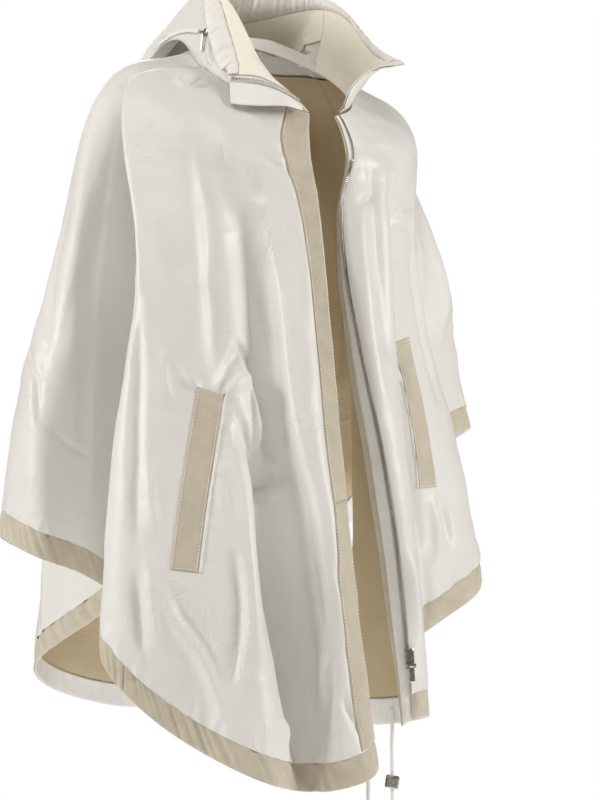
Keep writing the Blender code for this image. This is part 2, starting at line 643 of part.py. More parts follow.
# Drawcords: each leaves the inside of the hem by a front edge and hangs.
# Columns: name, piece it lies on, way round the hem (m), then drift x y at the end (mm)
CORD_THICK = 4.0
CORD_END = -800.0
CORD_ROWS = (
    ("left_drawcord", "left_front_hem_facing", along("left_valley", 0.0378), -4, -6),
    ("right_drawcord", "right_front_binding", RIGHT_EDGE + 0.0154, 2, 3),
)
for name, held_by, s, drift_x, drift_y in CORD_ROWS:
    tree = tree_of(bpy.data.objects[held_by])
    v = np.array([0.975, 0.987, 0.998])
    within = cape_at(s, v) - normals_of(cape_at, np.full(3, s), v) * 0.012
    held = []
    for wanted in within:
        place = tree.find_nearest(Vector(wanted))[0]
        held.append(np.array(place + (Vector(wanted) - place).normalized() * (CORD_THICK / 2 + 0.4) * MM))
    held = np.array(held)
    foot = held[-1]
    low = np.array([foot[0], foot[1], CORD_END * MM])
    low[:2] += np.array([drift_x, drift_y]) * MM
    t = np.array([0.12, 0.4, 0.7, 1.0])[:, None]
    hanging = foot + (low - foot) * np.concatenate([t**1.6, t**1.6, t], axis=1)
    points = np.concatenate([held, hanging])
    knots = np.concatenate([[0], np.cumsum(np.linalg.norm(np.diff(points, axis=0), axis=1))])
    path = Curve(knots, points)(np.linspace(0, knots[-1], 14))
    data = bpy.data.curves.new(name, "CURVE")
    data.dimensions = "3D"
    data.bevel_depth = CORD_THICK / 2 * MM
    data.bevel_resolution = 2
    data.use_fill_caps = True
    line = data.splines.new("POLY")
    line.points.add(len(path) - 1)
    for point, place in zip(line.points, path):
        point.co = (*place, 1.0)
    obj = bpy.data.objects.new(name, data)
    bpy.context.scene.collection.objects.link(obj)
    obj.data.materials.append(material(name, *CORD_WHITE))

# The metal cord lock that the left drawcord runs through
left_cord = bpy.data.objects["left_drawcord"].data.splines[0].points
LOCK_HEIGHT = -0.753
nearest = min(left_cord, key=lambda point: abs(point.co.z - LOCK_HEIGHT)).co.to_3d()
lock_frame = Matrix.Translation(nearest) @ Matrix.Rotation(math.radians(-35), 4, "Z")
lock_frame = lock_frame @ Matrix.Rotation(math.radians(8), 4, "Y")
lock = box("cord_lock", (-7.0, -4.5, -6.5), (7.0, 4.5, 6.5), lock_frame, NICKEL, 1.5)
bore = rod("lock_bore", (0, 0, -9), (0, 0, 9), 3.0, Matrix.Translation(nearest), NICKEL)
cut = lock.modifiers.new("Bore", "BOOLEAN")
cut.operation = "DIFFERENCE"
cut.solver = "EXACT"
cut.object = bore
bore.hide_render = True
bore.display_type = "WIRE"
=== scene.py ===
"""Looks for a hooded cape worn open: cloth, suede trim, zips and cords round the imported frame."""

import math

import bpy
import numpy as np
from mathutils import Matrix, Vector
from mathutils.bvhtree import BVHTree


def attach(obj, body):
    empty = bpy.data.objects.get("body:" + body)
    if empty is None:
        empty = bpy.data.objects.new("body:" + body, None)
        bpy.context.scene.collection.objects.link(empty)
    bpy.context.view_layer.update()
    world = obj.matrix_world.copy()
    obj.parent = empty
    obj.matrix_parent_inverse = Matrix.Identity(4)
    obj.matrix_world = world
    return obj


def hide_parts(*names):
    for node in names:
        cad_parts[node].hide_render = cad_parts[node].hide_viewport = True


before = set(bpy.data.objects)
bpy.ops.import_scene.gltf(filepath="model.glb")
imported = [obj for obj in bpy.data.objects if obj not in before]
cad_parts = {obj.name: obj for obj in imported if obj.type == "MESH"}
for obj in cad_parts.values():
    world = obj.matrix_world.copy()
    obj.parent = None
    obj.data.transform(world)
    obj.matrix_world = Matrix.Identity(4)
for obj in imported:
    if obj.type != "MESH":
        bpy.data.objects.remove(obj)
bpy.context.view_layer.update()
MM = 0.001


# The camera
# It stands level with the top of the pockets, round to the wearer's right of the front.
# The lens is long and the frame upright.
def add_object(name, data):
    """A new object with this data, in the scene."""
    made = bpy.data.objects.new(name, data)
    bpy.context.scene.collection.objects.link(made)
    return made


CAMERA_TURN = math.radians(-35)
CAMERA_HEIGHT = -0.354
CAMERA_ASIDE = 0.0346
CAMERA_AWAY = 2.6
camera_data = bpy.data.cameras.new("camera")
camera_data.sensor_fit = "VERTICAL"
camera_data.sensor_height = 36.0
camera_data.lens = 108.36
camera = add_object("camera", camera_data)
look_along = Vector((0.573576, 0.819152, 0.0))
look_across = Vector((0.819152, -0.573576, 0.0))
camera.location = Vector((0, 0, CAMERA_HEIGHT)) + look_across * CAMERA_ASIDE - look_along * CAMERA_AWAY
camera.rotation_euler = (math.radians(90), 0.0, CAMERA_TURN)
bpy.context.scene.camera = camera

# The studio
# A plain white room. Soft panels of light stand on both sides of the cape, above it and behind it, and a
# small one fills the inside of the collar. The sky lights the cloth warmly and is seen as white.
bpy.context.scene.view_settings.view_transform = "Standard"
world = bpy.data.worlds.new("studio")
bpy.context.scene.world = world
world.use_nodes = True
sky_nodes = world.node_tree.nodes
sky_links = world.node_tree.links
sky = sky_nodes["Background"]
sky.inputs["Color"].default_value = (1.0, 0.87, 0.70, 1.0)
sky.inputs["Strength"].default_value = 0.19
white_sky = sky_nodes.new("ShaderNodeBackground")
white_sky.inputs["Color"].default_value = (1.0, 1.0, 1.0, 1.0)
seen = sky_nodes.new("ShaderNodeLightPath")
either = sky_nodes.new("ShaderNodeMixShader")
sky_links.new(seen.outputs["Is Camera Ray"], either.inputs[0])
sky_links.new(sky.outputs[0], either.inputs[1])
sky_links.new(white_sky.outputs[0], either.inputs[2])
sky_links.new(either.outputs[0], sky_nodes["World Output"].inputs[0])
# Columns: name, place (m), watts, width (m), tint
LIGHT_ROWS = (
    ("left_side", (-2.88, 0.80, 0.8), 51, 1.0, (0.995, 0.995, 1.0)),
    ("right_side", (1.94, -2.40, 0.8), 58, 1.0, (0.995, 0.995, 1.0)),
    ("top", (-1.3, -1.9, 2.5), 24, 1.0, (1.0, 0.99, 0.98)),
    ("collar_fill", (-1.1, -0.2, 1.3), 5, 0.5, (1.0, 0.99, 0.96)),
    ("back", (1.2, 3.0, 1.4), 30, 1.4, (1.0, 1.0, 1.0)),
)
LIT_POINT = Vector((0, 0, -0.35))
for light_name, place, watts, wide, tint in LIGHT_ROWS:
    light_data = bpy.data.lights.new(light_name, "AREA")
    light_data.energy = watts
    light_data.size = wide
    light_data.color = tint
    light = add_object(light_name, light_data)
    light.location = place
    light.rotation_euler = (LIT_POINT - Vector(place)).to_track_quat("-Z", "Y").to_euler()


# The floor
# A wide plain sheet of pale board far under the hanging cape, faintly mottled and lit from within, so
# that it meets the white room without an edge.
class Wire:
    """A shader socket, so that maths on it is written as an expression and adds Math nodes."""

    def __init__(self, tree, socket=None):
        self.tree = tree
        self.socket = socket

    def node(self, kind, settings=None, sockets=None, out=0):
        """Any other node: its settings first, then the values or links of its sockets."""
        made = self.tree.nodes.new(kind)
        for key, value in (settings or {}).items():
            if key == "stops":
                for element, (place, colour) in zip(made.color_ramp.elements, value):
                    element.position = place
                    element.color = (*colour, 1.0)
            else:
                setattr(made, key, value)
        for key, value in (sockets or {}).items():
            if isinstance(value, Wire):
                self.tree.links.new(value.socket, made.inputs[key])
            else:
                made.inputs[key].default_value = value
        return Wire(self.tree, made.outputs[out])

    def sum(self, operation, first, second=None):
        sockets = {0: first} if second is None else {0: first, 1: second}
        return self.node("ShaderNodeMath", {"operation": operation}, sockets)

    def __add__(self, other):
        return self.sum("ADD", self, other)

    __radd__ = __add__

    def __mul__(self, other):
        return self.sum("MULTIPLY", self, other)

    __rmul__ = __mul__

    def __sub__(self, other):
        return self.sum("SUBTRACT", self, other)

    def __rsub__(self, other):
        return self.sum("SUBTRACT", other, self)

    def __pow__(self, other):
        return self.sum("POWER", self, other)

    def sine(self):
        return self.sum("SINE", self)

    def absolute(self):
        return self.sum("ABSOLUTE", self)

    def clamped(self):
        return self.node("ShaderNodeClamp", None, {"Value": self})


def new_look(name, values):
    """A material with its shader's constants set, and a Wire to build the rest with."""
    made = bpy.data.materials.new(name)
    made.use_nodes = True
    shader = made.node_tree.nodes["Principled BSDF"]
    for key, value in values.items():
        shader.inputs[key].default_value = value
    return made, shader, Wire(made.node_tree)


def plug(wire, shader, key):
    wire.tree.links.new(wire.socket, shader.inputs[key])


def two_tones(mask, low, dark, high, light):
    """One colour where the mask is low and another where it is high."""
    return mask.node("ShaderNodeValToRGB", {"stops": [(low, dark), (high, light)]}, {"Fac": mask})


FLOOR_HALF = 3.0
FLOOR_HEIGHT = -1.5
floor_glow = {"Roughness": 0.9, "Emission Color": (1.0, 1.0, 1.0, 1.0), "Emission Strength": 0.55}
floor_look, floor_shader, floor_wire = new_look("pale_floor", floor_glow)
grain = floor_wire.node("ShaderNodeTexNoise", None, {"Scale": 3.0, "Detail": 2.0})
plug(two_tones(grain, 0.3, (0.93, 0.95, 0.97), 0.7, (0.95, 0.97, 0.99)), floor_shader, "Base Color")
floor_mesh = bpy.data.meshes.new("floor")
SQUARE = ((-1, -1), (1, -1), (1, 1), (-1, 1))
floor_corners = [(FLOOR_HALF * x, FLOOR_HALF * y, FLOOR_HEIGHT) for x, y in SQUARE]
floor_mesh.from_pydata(floor_corners, [], [(0, 1, 2, 3)])
floor = add_object("floor", floor_mesh)
floor.data.materials.append(floor_look)


# The neck seam and the cut of the cape
# One flared cloth hangs from an oval neck seam over the shoulders. Its folds run from the shoulders to
# the hem, and every panel, lining and trim below is cut from the same surface.
def on_spline(share, step, low, high, low_bend, high_bend):
    """Values a share of the way along one step of a cubic spline."""
    b = share[:, None]
    a = 1 - b
    bend = ((a**3 - a) * low_bend + (b**3 - b) * high_bend) * (step[:, None] ** 2) / 6
    return a * low + b * high + bend


class Curve:
    """A natural cubic spline through rows of values at rising knots."""

    def __init__(self, knots, rows):
        self.knots = np.asarray(knots, float)
        rows = np.asarray(rows, float)
        self.tail = rows.shape[1:]
        self.rows = rows.reshape(len(rows), -1)
        step = np.diff(self.knots)
        count = len(self.knots)
        grid = np.eye(count)
        right = np.zeros_like(self.rows)
        for k in range(1, count - 1):
            grid[k, k - 1 : k + 2] = step[k - 1], 2 * (step[k - 1] + step[k]), step[k]
            after = (self.rows[k + 1] - self.rows[k]) / step[k]
            before = (self.rows[k] - self.rows[k - 1]) / step[k - 1]
            right[k] = 6 * (after - before)
        self.bend = np.linalg.solve(grid, right)

    def __call__(self, at):
        at = np.asarray(at, float)
        flat = np.clip(at.ravel(), self.knots[0], self.knots[-1])
        k = np.clip(np.searchsorted(self.knots, flat) - 1, 0, len(self.knots) - 2)
        step = self.knots[k + 1] - self.knots[k]
        share = (flat - self.knots[k]) / step
        found = on_spline(share, step, self.rows[k], self.rows[k + 1], self.bend[k], self.bend[k + 1])
        return found.reshape(at.shape + self.tail)


def through_levels(rows_at, levels, s, v):
    """Points of a surface whose row at each s is a spline through points at the given levels."""
    s, v = np.broadcast_arrays(np.asarray(s, float), np.asarray(v, float))
    flat = v.ravel()
    rows = np.moveaxis(rows_at(s.ravel()), 1, 0)
    bend = Curve(levels, rows).bend.reshape(rows.shape)
    k = np.clip(np.searchsorted(levels, flat) - 1, 0, len(levels) - 2)
    step = levels[k + 1] - levels[k]
    share = (flat - levels[k]) / step
    every = np.arange(len(flat))
    found = on_spline(share, step, rows[k, every], rows[k + 1, every], bend[k, every], bend[k + 1, every])
    return found.reshape(s.shape + (3,))


NECK_HALF_WIDE = 0.080
NECK_FRONT = 0.098
NECK_BACK = 0.088
NECK_SLOPE = 0.51


def neck_seam(turn):
    """A point of the neck seam. The turn is in degrees from the front towards the wearer's right."""
    angle = np.radians(np.asarray(turn, float))
    deep = np.where(np.cos(angle) > 0, NECK_FRONT, NECK_BACK)
    y = -0.003 - deep * np.cos(angle)
    return np.stack([-NECK_HALF_WIDE * np.sin(angle), y, -0.004 + NECK_SLOPE * y], axis=-1)


# Columns: turn, distance from the middle, height (mm) of the shoulder ring
SHOULDER_ROWS = (
    (-24, 113, -88),
    (0, 107, -92),
    (25, 117, -87),
    (45, 133, -77),
    (60, 148, -64),
    (75, 163, -40),
    (90, 172, -17),
    (105, 169, -6),
    (120, 161, -6),
    (140, 147, -16),
    (160, 133, -24),
    (180, 127, -28),
    (200, 133, -26),
    (220, 147, -18),
    (240, 158, -14),
    (255, 163, -18),
    (270, 164, -29),
    (285, 160, -48),
    (300, 149, -66),
    (315, 133, -78),
    (335, 115, -88),
    (360, 107, -92),
)
shoulder_curve = Curve([row[0] for row in SHOULDER_ROWS], [row[1:] for row in SHOULDER_ROWS])
# Columns: name, turn, chest x y (at the chest's height), mid x y z, hem x y z (mm), a row for each fold
FOLD_ROWS = (
    ("right_edge", 11, -27, -131, -53, -212, -431, -54, -268, -714),
    ("placket_seam", 28, -50, -127, -77, -217, -436, -81, -286, -722),
    ("front_ridge", 37, -67, -122, -94, -211, -439, -110, -272, -730),
    ("front_valley", 44, -84, -115, -108, -189, -442, -119, -240, -734),
    ("pocket_ridge", 52, -104, -109, -140, -193, -436, -168, -255, -722),
    ("front_mid", 63, -135, -98, -178, -168, -423, -213, -217, -696),
    ("front_side", 76, -170, -83, -219, -139, -405, -254, -175, -660),
    ("side_ridge", 89, -207, -55, -243, -93, -376, -274, -113, -603),
    ("side_valley", 94, -193, -25, -192, -36, -357, -196, -29, -562),
    ("wing_front", 99, -211, -4, -226, -15, -343, -232, -15, -534),
    ("wing_mid", 105, -221, 16, -270, -6, -332, -285, -18, -515),
    ("wing_side", 114, -219, 50, -271, 47, -323, -292, 58, -496),
    ("wing_back", 125, -188, 90, -212, 108, -335, -221, 118, -519),
    ("back_valley_right", 137, -144, 116, -130, 126, -355, -122, 114, -562),
    ("back_ridge_right", 149, -108, 148, -136, 208, -400, -143, 247, -645),
    ("back_right", 165, -56, 170, -64, 258, -428, -46, 330, -706),
    ("back_mid", 182, 4, 163, 2, 234, -438, 12, 302, -718),
    ("back_left", 198, 58, 169, 70, 258, -431, 78, 330, -712),
    ("back_ridge_left", 211, 110, 147, 150, 208, -400, 166, 248, -645),
    ("back_valley_left", 223, 144, 118, 152, 140, -352, 168, 152, -564),
    ("left_wing_back", 238, 190, 92, 236, 126, -302, 264, 158, -468),
    ("left_wing_side", 252, 228, 27, 297, 54, -269, 336, 71, -388),
    ("left_side_valley", 267, 186, -16, 205, 14, -298, 226, 26, -447),
    ("left_side_ridge", 283, 152, -56, 210, -38, -348, 242, -60, -546),
    ("left_mid", 299, 104, -84, 132, -84, -382, 157, -98, -595),
    ("left_valley", 318, 66, -104, 44, -102, -421, 38, -112, -692),
    ("left_ridge", 331, 56, -126, 52, -177, -417, 71, -190, -681),
    ("left_edge", 341, 14, -120, 14, -193, -417, 33, -212, -680),
    ("guard_edge", 344, 12, -113, 3, -180, -418, 25, -207, -686),
    ("facing_edge", 347, 10, -100, -4, -157, -418, 22, -200, -688),
)
CHEST_HEIGHT = -0.150
fold_names = [row[0] for row in FOLD_ROWS]
turns = np.array([row[1] for row in FOLD_ROWS], float)
fold_table = np.array([row[2:] for row in FOLD_ROWS], float) * MM
ring = shoulder_curve(turns) * MM
ring_angle = np.radians(turns)
out_x = -ring[:, 0] * np.sin(ring_angle)
out_y = -ring[:, 0] * np.cos(ring_angle)
shoulders = np.stack([out_x, out_y, ring[:, 1]], axis=-1)
chest = np.column_stack([fold_table[:, 0], fold_table[:, 1], np.full(len(turns), CHEST_HEIGHT)])
mid = fold_table[:, 2:5]
hem = fold_table[:, 5:8]


def along_folds(first, first_share, second):
    """Distances round the cloth, shared between those of two rows of points."""
    steps = first_share * np.linalg.norm(np.diff(first, axis=0), axis=1)
    steps += (1 - first_share) * np.linalg.norm(np.diff(second, axis=0), axis=1)
    return np.concatenate([[0], np.cumsum(steps)])


ALONG = along_folds(hem, 0.6, mid)
CAPE_LEVELS = np.array([0.0, 0.11, 0.27, 0.63, 1.0])
cape_rows = Curve(ALONG, np.stack([neck_seam(turns), shoulders, chest, mid, hem], axis=1))
# The length in metres that v from 0 to 1 stands for
DROP = 0.70


def along(name, extra=0.0):
    """How far round the hem a fold stands, in metres, with an extra distance."""
    return float(ALONG[fold_names.index(name)] + extra)


def cape_at(s, v):
    """Points of the cape's inner face. s is the way round, v runs from the neck (0) to the hem (1)."""
    return through_levels(cape_rows, CAPE_LEVELS, s, v)


def unit(vectors):
    return vectors / np.linalg.norm(vectors, axis=-1, keepdims=True)


def normals_of(surface, s, v, side=1.0):
    across = surface(s + 0.0015, v) - surface(s - 0.0015, v)
    down = surface(s, v + 0.002) - surface(s, v - 0.002)
    return unit(np.cross(across, down) * side)


RIGHT_EDGE = along("right_edge")
PLACKET_SEAM = along("placket_seam")
BINDING_JOINT = along("front_side", 0.030)
RIGHT_SEAM = along("wing_back", -0.020)
LEFT_SEAM = along("left_wing_back", 0.020)
LEFT_EDGE = along("left_edge")
GUARD_EDGE = along("guard_edge")
FACING_EDGE = along("facing_edge", -0.009)
LINED_LEFT_END = LEFT_EDGE - 0.025
# The room that a panel leaves on its side of a seam
SEAM_GAP = 0.0003

# The creases of the cloth
# Satin keeps soft troughs (below 0) and ridges (above 0) where it is pulled or has been folded.
# Columns: height, half width on each side (mm), then pairs of way round (0.1 mm) and v (thousandths)
RIGHT_CREASES = (
    (4.2, 16, 15, 1017, 283, 1017, 333, 895, 413, 789, 451, 653, 555, 410, 653, 334, 713),
    (-1.0, 9, 9, 1199, 291, 1214, 333, 1078, 413, 941, 467),
    (0.7, 6, 6, 1108, 293, 1002, 279, 820, 281),
    (-1.5, 14, 10, 1882, 172, 2034, 273, 2125, 383, 2018, 467, 1897, 525),
    (1.8, 14, 14, 1320, 174, 1366, 236, 1381, 295),
    (0.6, 7, 8, 607, 156, 425, 166, 228, 180),
    (-0.5, 6, 7, 592, 182, 410, 198, 212, 212),
    (-0.6, 8, 7, 637, 64, 455, 80, 304, 110),
    (-2.2, 4, 5, 2620, 30, 2500, 52, 2360, 50, 2290, 36),
    (1.6, 5, 5, 2720, 40, 2540, 70, 2360, 68),
    (-0.9, 12, 10, 2732, 323, 2641, 355, 2504, 385),
    (0.5, 6, 7, 1882, 321, 1563, 317, 1199, 313),
    (-2.8, 6, 9, 1882, 523, 1791, 493, 1654, 471, 1502, 477, 1320, 489, 1169, 515),
    (2.4, 6, 7, 1821, 531, 1639, 513, 1396, 501),
    (-3.8, 9, 10, 1624, 561, 1548, 581, 1366, 601, 1108, 621),
    (-3.0, 5, 6, 1153, 633, 1017, 627, 880, 611),
    (3.2, 7, 6, 1381, 507, 1290, 533, 1199, 567, 1093, 593, 1047, 611),
    (-1.6, 8, 16, 1305, 649, 1290, 695, 1244, 754, 1214, 814, 1153, 888),
    (1.8, 12, 12, 1502, 647, 1457, 699, 1442, 774, 1411, 834),
    (-0.8, 6, 7, 1760, 637, 1700, 657, 1654, 679),
    (0.8, 6, 7, 1852, 627, 1806, 651, 1760, 677),
    (2.0, 9, 12, 2413, 820, 2292, 842, 2155, 854, 2003, 866, 1897, 888, 1836, 908, 1745, 942),
    (-1.1, 8, 10, 2270, 812, 2170, 836, 2003, 848, 1867, 870, 1776, 896),
    (-1.6, 9, 8, 2701, 828, 2656, 878, 2626, 926),
    (1.4, 8, 8, 2565, 786, 2534, 840, 2459, 888),
    (2.2, 8, 9, 562, 820, 668, 854, 774, 888, 880, 918),
    (-2.2, 7, 8, 455, 838, 546, 874, 653, 904, 744, 932),
    (-1.6, 3, 4, 379, 888, 349, 908, 304, 930),
    (-1.5, 9, 8, 3202, 407, 2975, 539, 2808, 661, 2732, 774),
    (1.4, 7, 8, 2732, 499, 2641, 535, 2565, 557),
    (1.6, 4, 4, 2413, 517, 2292, 525, 2185, 531),
    (1.3, 7, 9, 2641, 663, 2595, 703, 2519, 741),
    (-2.0, 8, 9, 1639, 731, 1594, 780, 1624, 832, 1700, 886),
    (1.5, 5, 6, 1138, 938, 1062, 918, 926, 900),
    (1.2, 4, 5, 379, 729, 319, 768, 304, 818),
    (-1.4, 6, 6, 683, 611, 592, 667, 531, 715, 470, 790),
    (-1.6, 14, 12, 6000, 240, 5995, 347, 5570, 527, 5342, 733),
    (1.6, 12, 14, 5312, 246, 5221, 361, 5039, 565, 4978, 758),
    (-1.2, 4, 6, 5145, 754, 4993, 774, 4841, 774),
    (-1.3, 6, 5, 5995, 567, 5570, 647, 5433, 737),
    (1.0, 8, 8, 4811, 317, 4796, 477, 4750, 719, 4750, 858),
    (-11.0, 34, 18, 1160, 600, 1100, 690, 1010, 760, 930, 830, 880, 900, 850, 960),
    (-7.5, 22, 30, 1400, 230, 1360, 320, 1270, 400, 1230, 460, 1200, 540, 1180, 600),
    (-16.0, 22, 32, 4243, 80, 4273, 150, 4323, 236, 4384, 331, 4389, 521, 4378, 749, 4389, 990),
)
BACK_CREASES = (
    (2.6, 12, 18, 8600, 120, 8700, 300, 8850, 520, 9000, 740),
    (-2.4, 12, 14, 9800, 180, 9850, 380, 9700, 600, 9750, 840),
    (2.2, 14, 12, 10500, 220, 10500, 440, 10450, 660, 10300, 900),
    (-2.0, 10, 12, 11350, 140, 11300, 360, 11200, 620, 11250, 860),
    (2.4, 12, 16, 12150, 200, 12200, 420, 12350, 640, 12400, 840),
    (-2.2, 10, 14, 12900, 300, 13000, 500, 13150, 720, 13200, 900),
    (-1.8, 7, 9, 10200, 660, 10000, 720, 9850, 800),
    (1.8, 6, 8, 11600, 700, 11800, 770, 11850, 860),
    (-1.6, 6, 8, 8300, 400, 8200, 500, 8000, 600),
    (1.5, 6, 8, 13600, 360, 13700, 480, 13850, 580),
    (-1.4, 5, 7, 10800, 340, 10600, 380, 10350, 400),
    (1.6, 7, 8, 9300, 800, 9200, 880, 9150, 950),
    (-1.6, 7, 6, 12700, 760, 12750, 850, 12800, 930),
    (1.4, 10, 8, 7600, 300, 7550, 500, 7500, 700),
    (-1.6, 9, 9, 14700, 260, 14750, 460, 14800, 660),
)
LEFT_CREASES = (
    (2.0, 8, 12, 22255, 283, 22295, 369, 22355, 465, 22400, 553),
    (-1.8, 8, 8, 22119, 180, 22118, 319, 22149, 411, 22179, 491),
    (-2.4, 7, 9, 19896, 519, 20033, 613, 20063, 713, 20048, 826),
    (2.2, 8, 8, 20153, 469, 20299, 575, 20345, 687, 20360, 808),
    (-1.4, 5, 6, 22264, 271, 22203, 259, 22112, 248),
    (1.5, 5, 6, 19851, 295, 19562, 277, 19198, 269),
    (-1.8, 9, 9, 18925, 313, 18985, 423, 19205, 533, 19317, 603),
    (-2.0, 5, 6, 19729, 780, 19684, 824, 19684, 872),
    (1.8, 6, 6, 19836, 772, 19836, 828, 19881, 882),
    (1.6, 6, 6, 22351, 762, 22351, 820, 22335, 880),
    (-1.6, 6, 6, 20033, 864, 20018, 942, 20063, 994),
    (1.6, 10, 10, 19000, 260, 18720, 380, 18700, 500),
    (1.8, 12, 14, 17000, 240, 17050, 460, 17120, 700),
    (-1.8, 10, 12, 16250, 220, 16300, 440, 16400, 680),
    (1.6, 8, 10, 17650, 300, 17700, 500, 17720, 720),
)
# All heights are multiplied by the depth. Past the reach, in half widths, a crease is too low to count.
CREASE_DEPTH = 3.2
CREASE_REACH = 3.2


def crease_rows(table):
    """The rows of a table with their marks in metres and in v."""
    return [(*row[:3], *(np.array(row[3:]).reshape(-1, 2) / (10000, 1000)).ravel()) for row in table]


def crease_height(s, v, rows, wide):
    """The creases' height at these points, in metres. wide is the true width of a metre of hem there."""
    height = np.zeros(s.shape)
    for high, left_half, right_half, *marks in rows:
        marks = np.array(marks).reshape(-1, 2)
        reach = CREASE_REACH * max(left_half, right_half) * MM
        near = (v > marks[:, 1].min() - reach / DROP) & (v < marks[:, 1].max() + reach / DROP)
        narrow = np.maximum(wide, 0.15)
        near &= (s > marks[:, 0].min() - reach / narrow) & (s < marks[:, 0].max() + reach / narrow)
        if not near.any():
            continue
        s_near, v_near, w_near = s[near], v[near], wide[near]
        best = np.full(s_near.shape, 1e9)
        place = np.zeros(s_near.shape)
        turned = np.zeros(s_near.shape)
        for k in range(len(marks) - 1):
            run_s = (marks[k + 1, 0] - marks[k, 0]) * w_near
            run_v = (marks[k + 1, 1] - marks[k, 1]) * DROP
            off_s = (s_near - marks[k, 0]) * w_near
            off_v = (v_near - marks[k, 1]) * DROP
            t = np.clip((off_s * run_s + off_v * run_v) / (run_s**2 + run_v**2 + 1e-12), 0, 1)
            far = np.hypot(off_s - t * run_s, off_v - t * run_v)
            closer = far < best
            best = np.where(closer, far, best)
            place = np.where(closer, (k + t) / (len(marks) - 1), place)
            turned = np.where(closer, off_s * run_v - off_v * run_s, turned)
        half = np.where(turned > 0, right_half, left_half) * MM
        fade = np.sin(np.pi * np.clip(0.06 + 0.88 * place, 0, 1)) ** 0.55
        height[near] += high * MM * CREASE_DEPTH * fade * np.exp(-((best / half) ** 1.8))
    return height


def ripple(s, v, seed, size, high):
    """A soft unevenness in metres, from a few seeded waves about this size."""
    draw = np.random.default_rng(seed)
    found = np.zeros(s.shape)
    for k in range(7):
        angle = draw.uniform(0, math.pi)
        wave = 2 * math.pi / (size * draw.uniform(0.7, 1.5))
        found += np.sin(wave * (s * math.cos(angle) + v * DROP * math.sin(angle)) + draw.uniform(0, 6.28))
    return found * high / 3.5


# Short puckers beside the pocket's opening, and faint short creases all over the satin
POCKET_PUCKERS = 12
FAINT_CREASES = 150
small_creases = []
draw = np.random.default_rng(77)
for k in range(POCKET_PUCKERS):
    down_by = (k + draw.uniform(-0.25, 0.25)) / POCKET_PUCKERS
    start_s = 0.2031 + 0.0152 * down_by - 0.0175
    start_v = 0.545 + 0.225 * down_by
    long = draw.uniform(0.010, 0.020)
    high = draw.uniform(-0.34, -0.16)
    small_creases.append((high, 4.0, 4.6, start_s, start_v, start_s - long, start_v - 0.006))
for k in range(FAINT_CREASES):
    middle_s = draw.uniform(0.03, 2.22)
    middle_v = draw.uniform(0.08, 0.92)
    lean = draw.uniform(-1.2, 1.2)
    long = draw.uniform(0.012, 0.034)
    run_s = long * math.sin(lean) / 2
    run_v = long * math.cos(lean) / 2 / DROP
    high = draw.choice((-1, 1)) * draw.uniform(0.04, 0.13)
    halves = (draw.uniform(3.4, 6.0), draw.uniform(3.4, 6.0))
    ends = (middle_s - run_s, middle_v - run_v, middle_s + run_s, middle_v + run_v)
    small_creases.append((high, *halves, *ends))
cape_creases = crease_rows(RIGHT_CREASES + BACK_CREASES + LEFT_CREASES) + small_creases


def true_width(surface, s, v):
    """The true width of a metre of hem at these points of a surface."""
    return np.linalg.norm(surface(s + 0.001, v) - surface(s - 0.001, v), axis=-1) / 0.002


def cape_skin(s, v, lift, depth=1.0):
    """Points of the cape lifted off its inner face, with the creases in. depth fades the creases."""
    s, v = np.broadcast_arrays(np.asarray(s, float), np.asarray(v, float))
    height = crease_height(s, v, cape_creases, true_width(cape_at, s, v))
    height += ripple(s, v, 5, 0.11, 0.0008) + ripple(s, v, 8, 0.035, 0.0002)
    return cape_at(s, v) + normals_of(cape_at, s, v) * (lift + height * depth)[..., None]


def grid_faces(rows, columns, first=0):
    """Quads of a grid of points, counted from the given first point."""
    i, j = np.meshgrid(np.arange(rows - 1), np.arange(columns - 1), indexing="ij")
    a = (first + i * columns + j).ravel()
    return np.stack([a, a + columns, a + columns + 1, a + 1], axis=1)


def true_sizes(points):
    """Distances in metres across and down a grid of points."""
    across = np.linalg.norm(np.diff(points, axis=0), axis=-1)
    down = np.linalg.norm(np.diff(points, axis=1), axis=-1)
    across = np.cumsum(np.pad(across, ((1, 0), (0, 0))), axis=0)
    return across, np.cumsum(np.pad(down, ((0, 0), (1, 0))), axis=1)


def cloth_object(name, points, look, behind=None, flip=False):
    """A sheet from a grid of points, with its cut in metres as its UV map. A second grid closes its back."""
    rows, columns = points.shape[:2]
    faces = grid_faces(rows, columns)
    across, down = true_sizes(points)
    flat_map = np.stack([across.ravel(), down.ravel()], axis=1)
    stack = points.reshape(-1, 3)
    if behind is not None:
        count = rows * columns
        here = np.arange(count).reshape(rows, columns)
        rim = np.array([*here[:, 0], *here[-1, 1:], *here[-2::-1, -1], *here[0, -2:0:-1]])
        after = np.roll(rim, -1)
        sides = np.stack([after, rim, rim + count, after + count], axis=1)
        faces = np.concatenate([faces, grid_faces(rows, columns, count)[:, ::-1], sides])
        stack = np.concatenate([stack, behind.reshape(-1, 3)])
        flat_map = np.concatenate([flat_map, flat_map])
    if flip:
        faces = faces[:, ::-1]
    mesh = bpy.data.meshes.new(name)
    mesh.from_pydata(stack.tolist(), [], faces.tolist())
    corner = np.empty(len(mesh.loops), np.int32)
    mesh.loops.foreach_get("vertex_index", corner)
    layer = mesh.uv_layers.new(name="UVMap")
    layer.data.foreach_set("uv", flat_map[corner].astype(np.float32).ravel())
    mesh.polygons.foreach_set("use_smooth", np.ones(len(mesh.polygons), bool))
    mesh.materials.append(look)
    return add_object(name, mesh)


# The least width and length that a sheet's cut is worked out at. A sheet states a cut of
# at least this size
LEAST_CUT = 0.0105


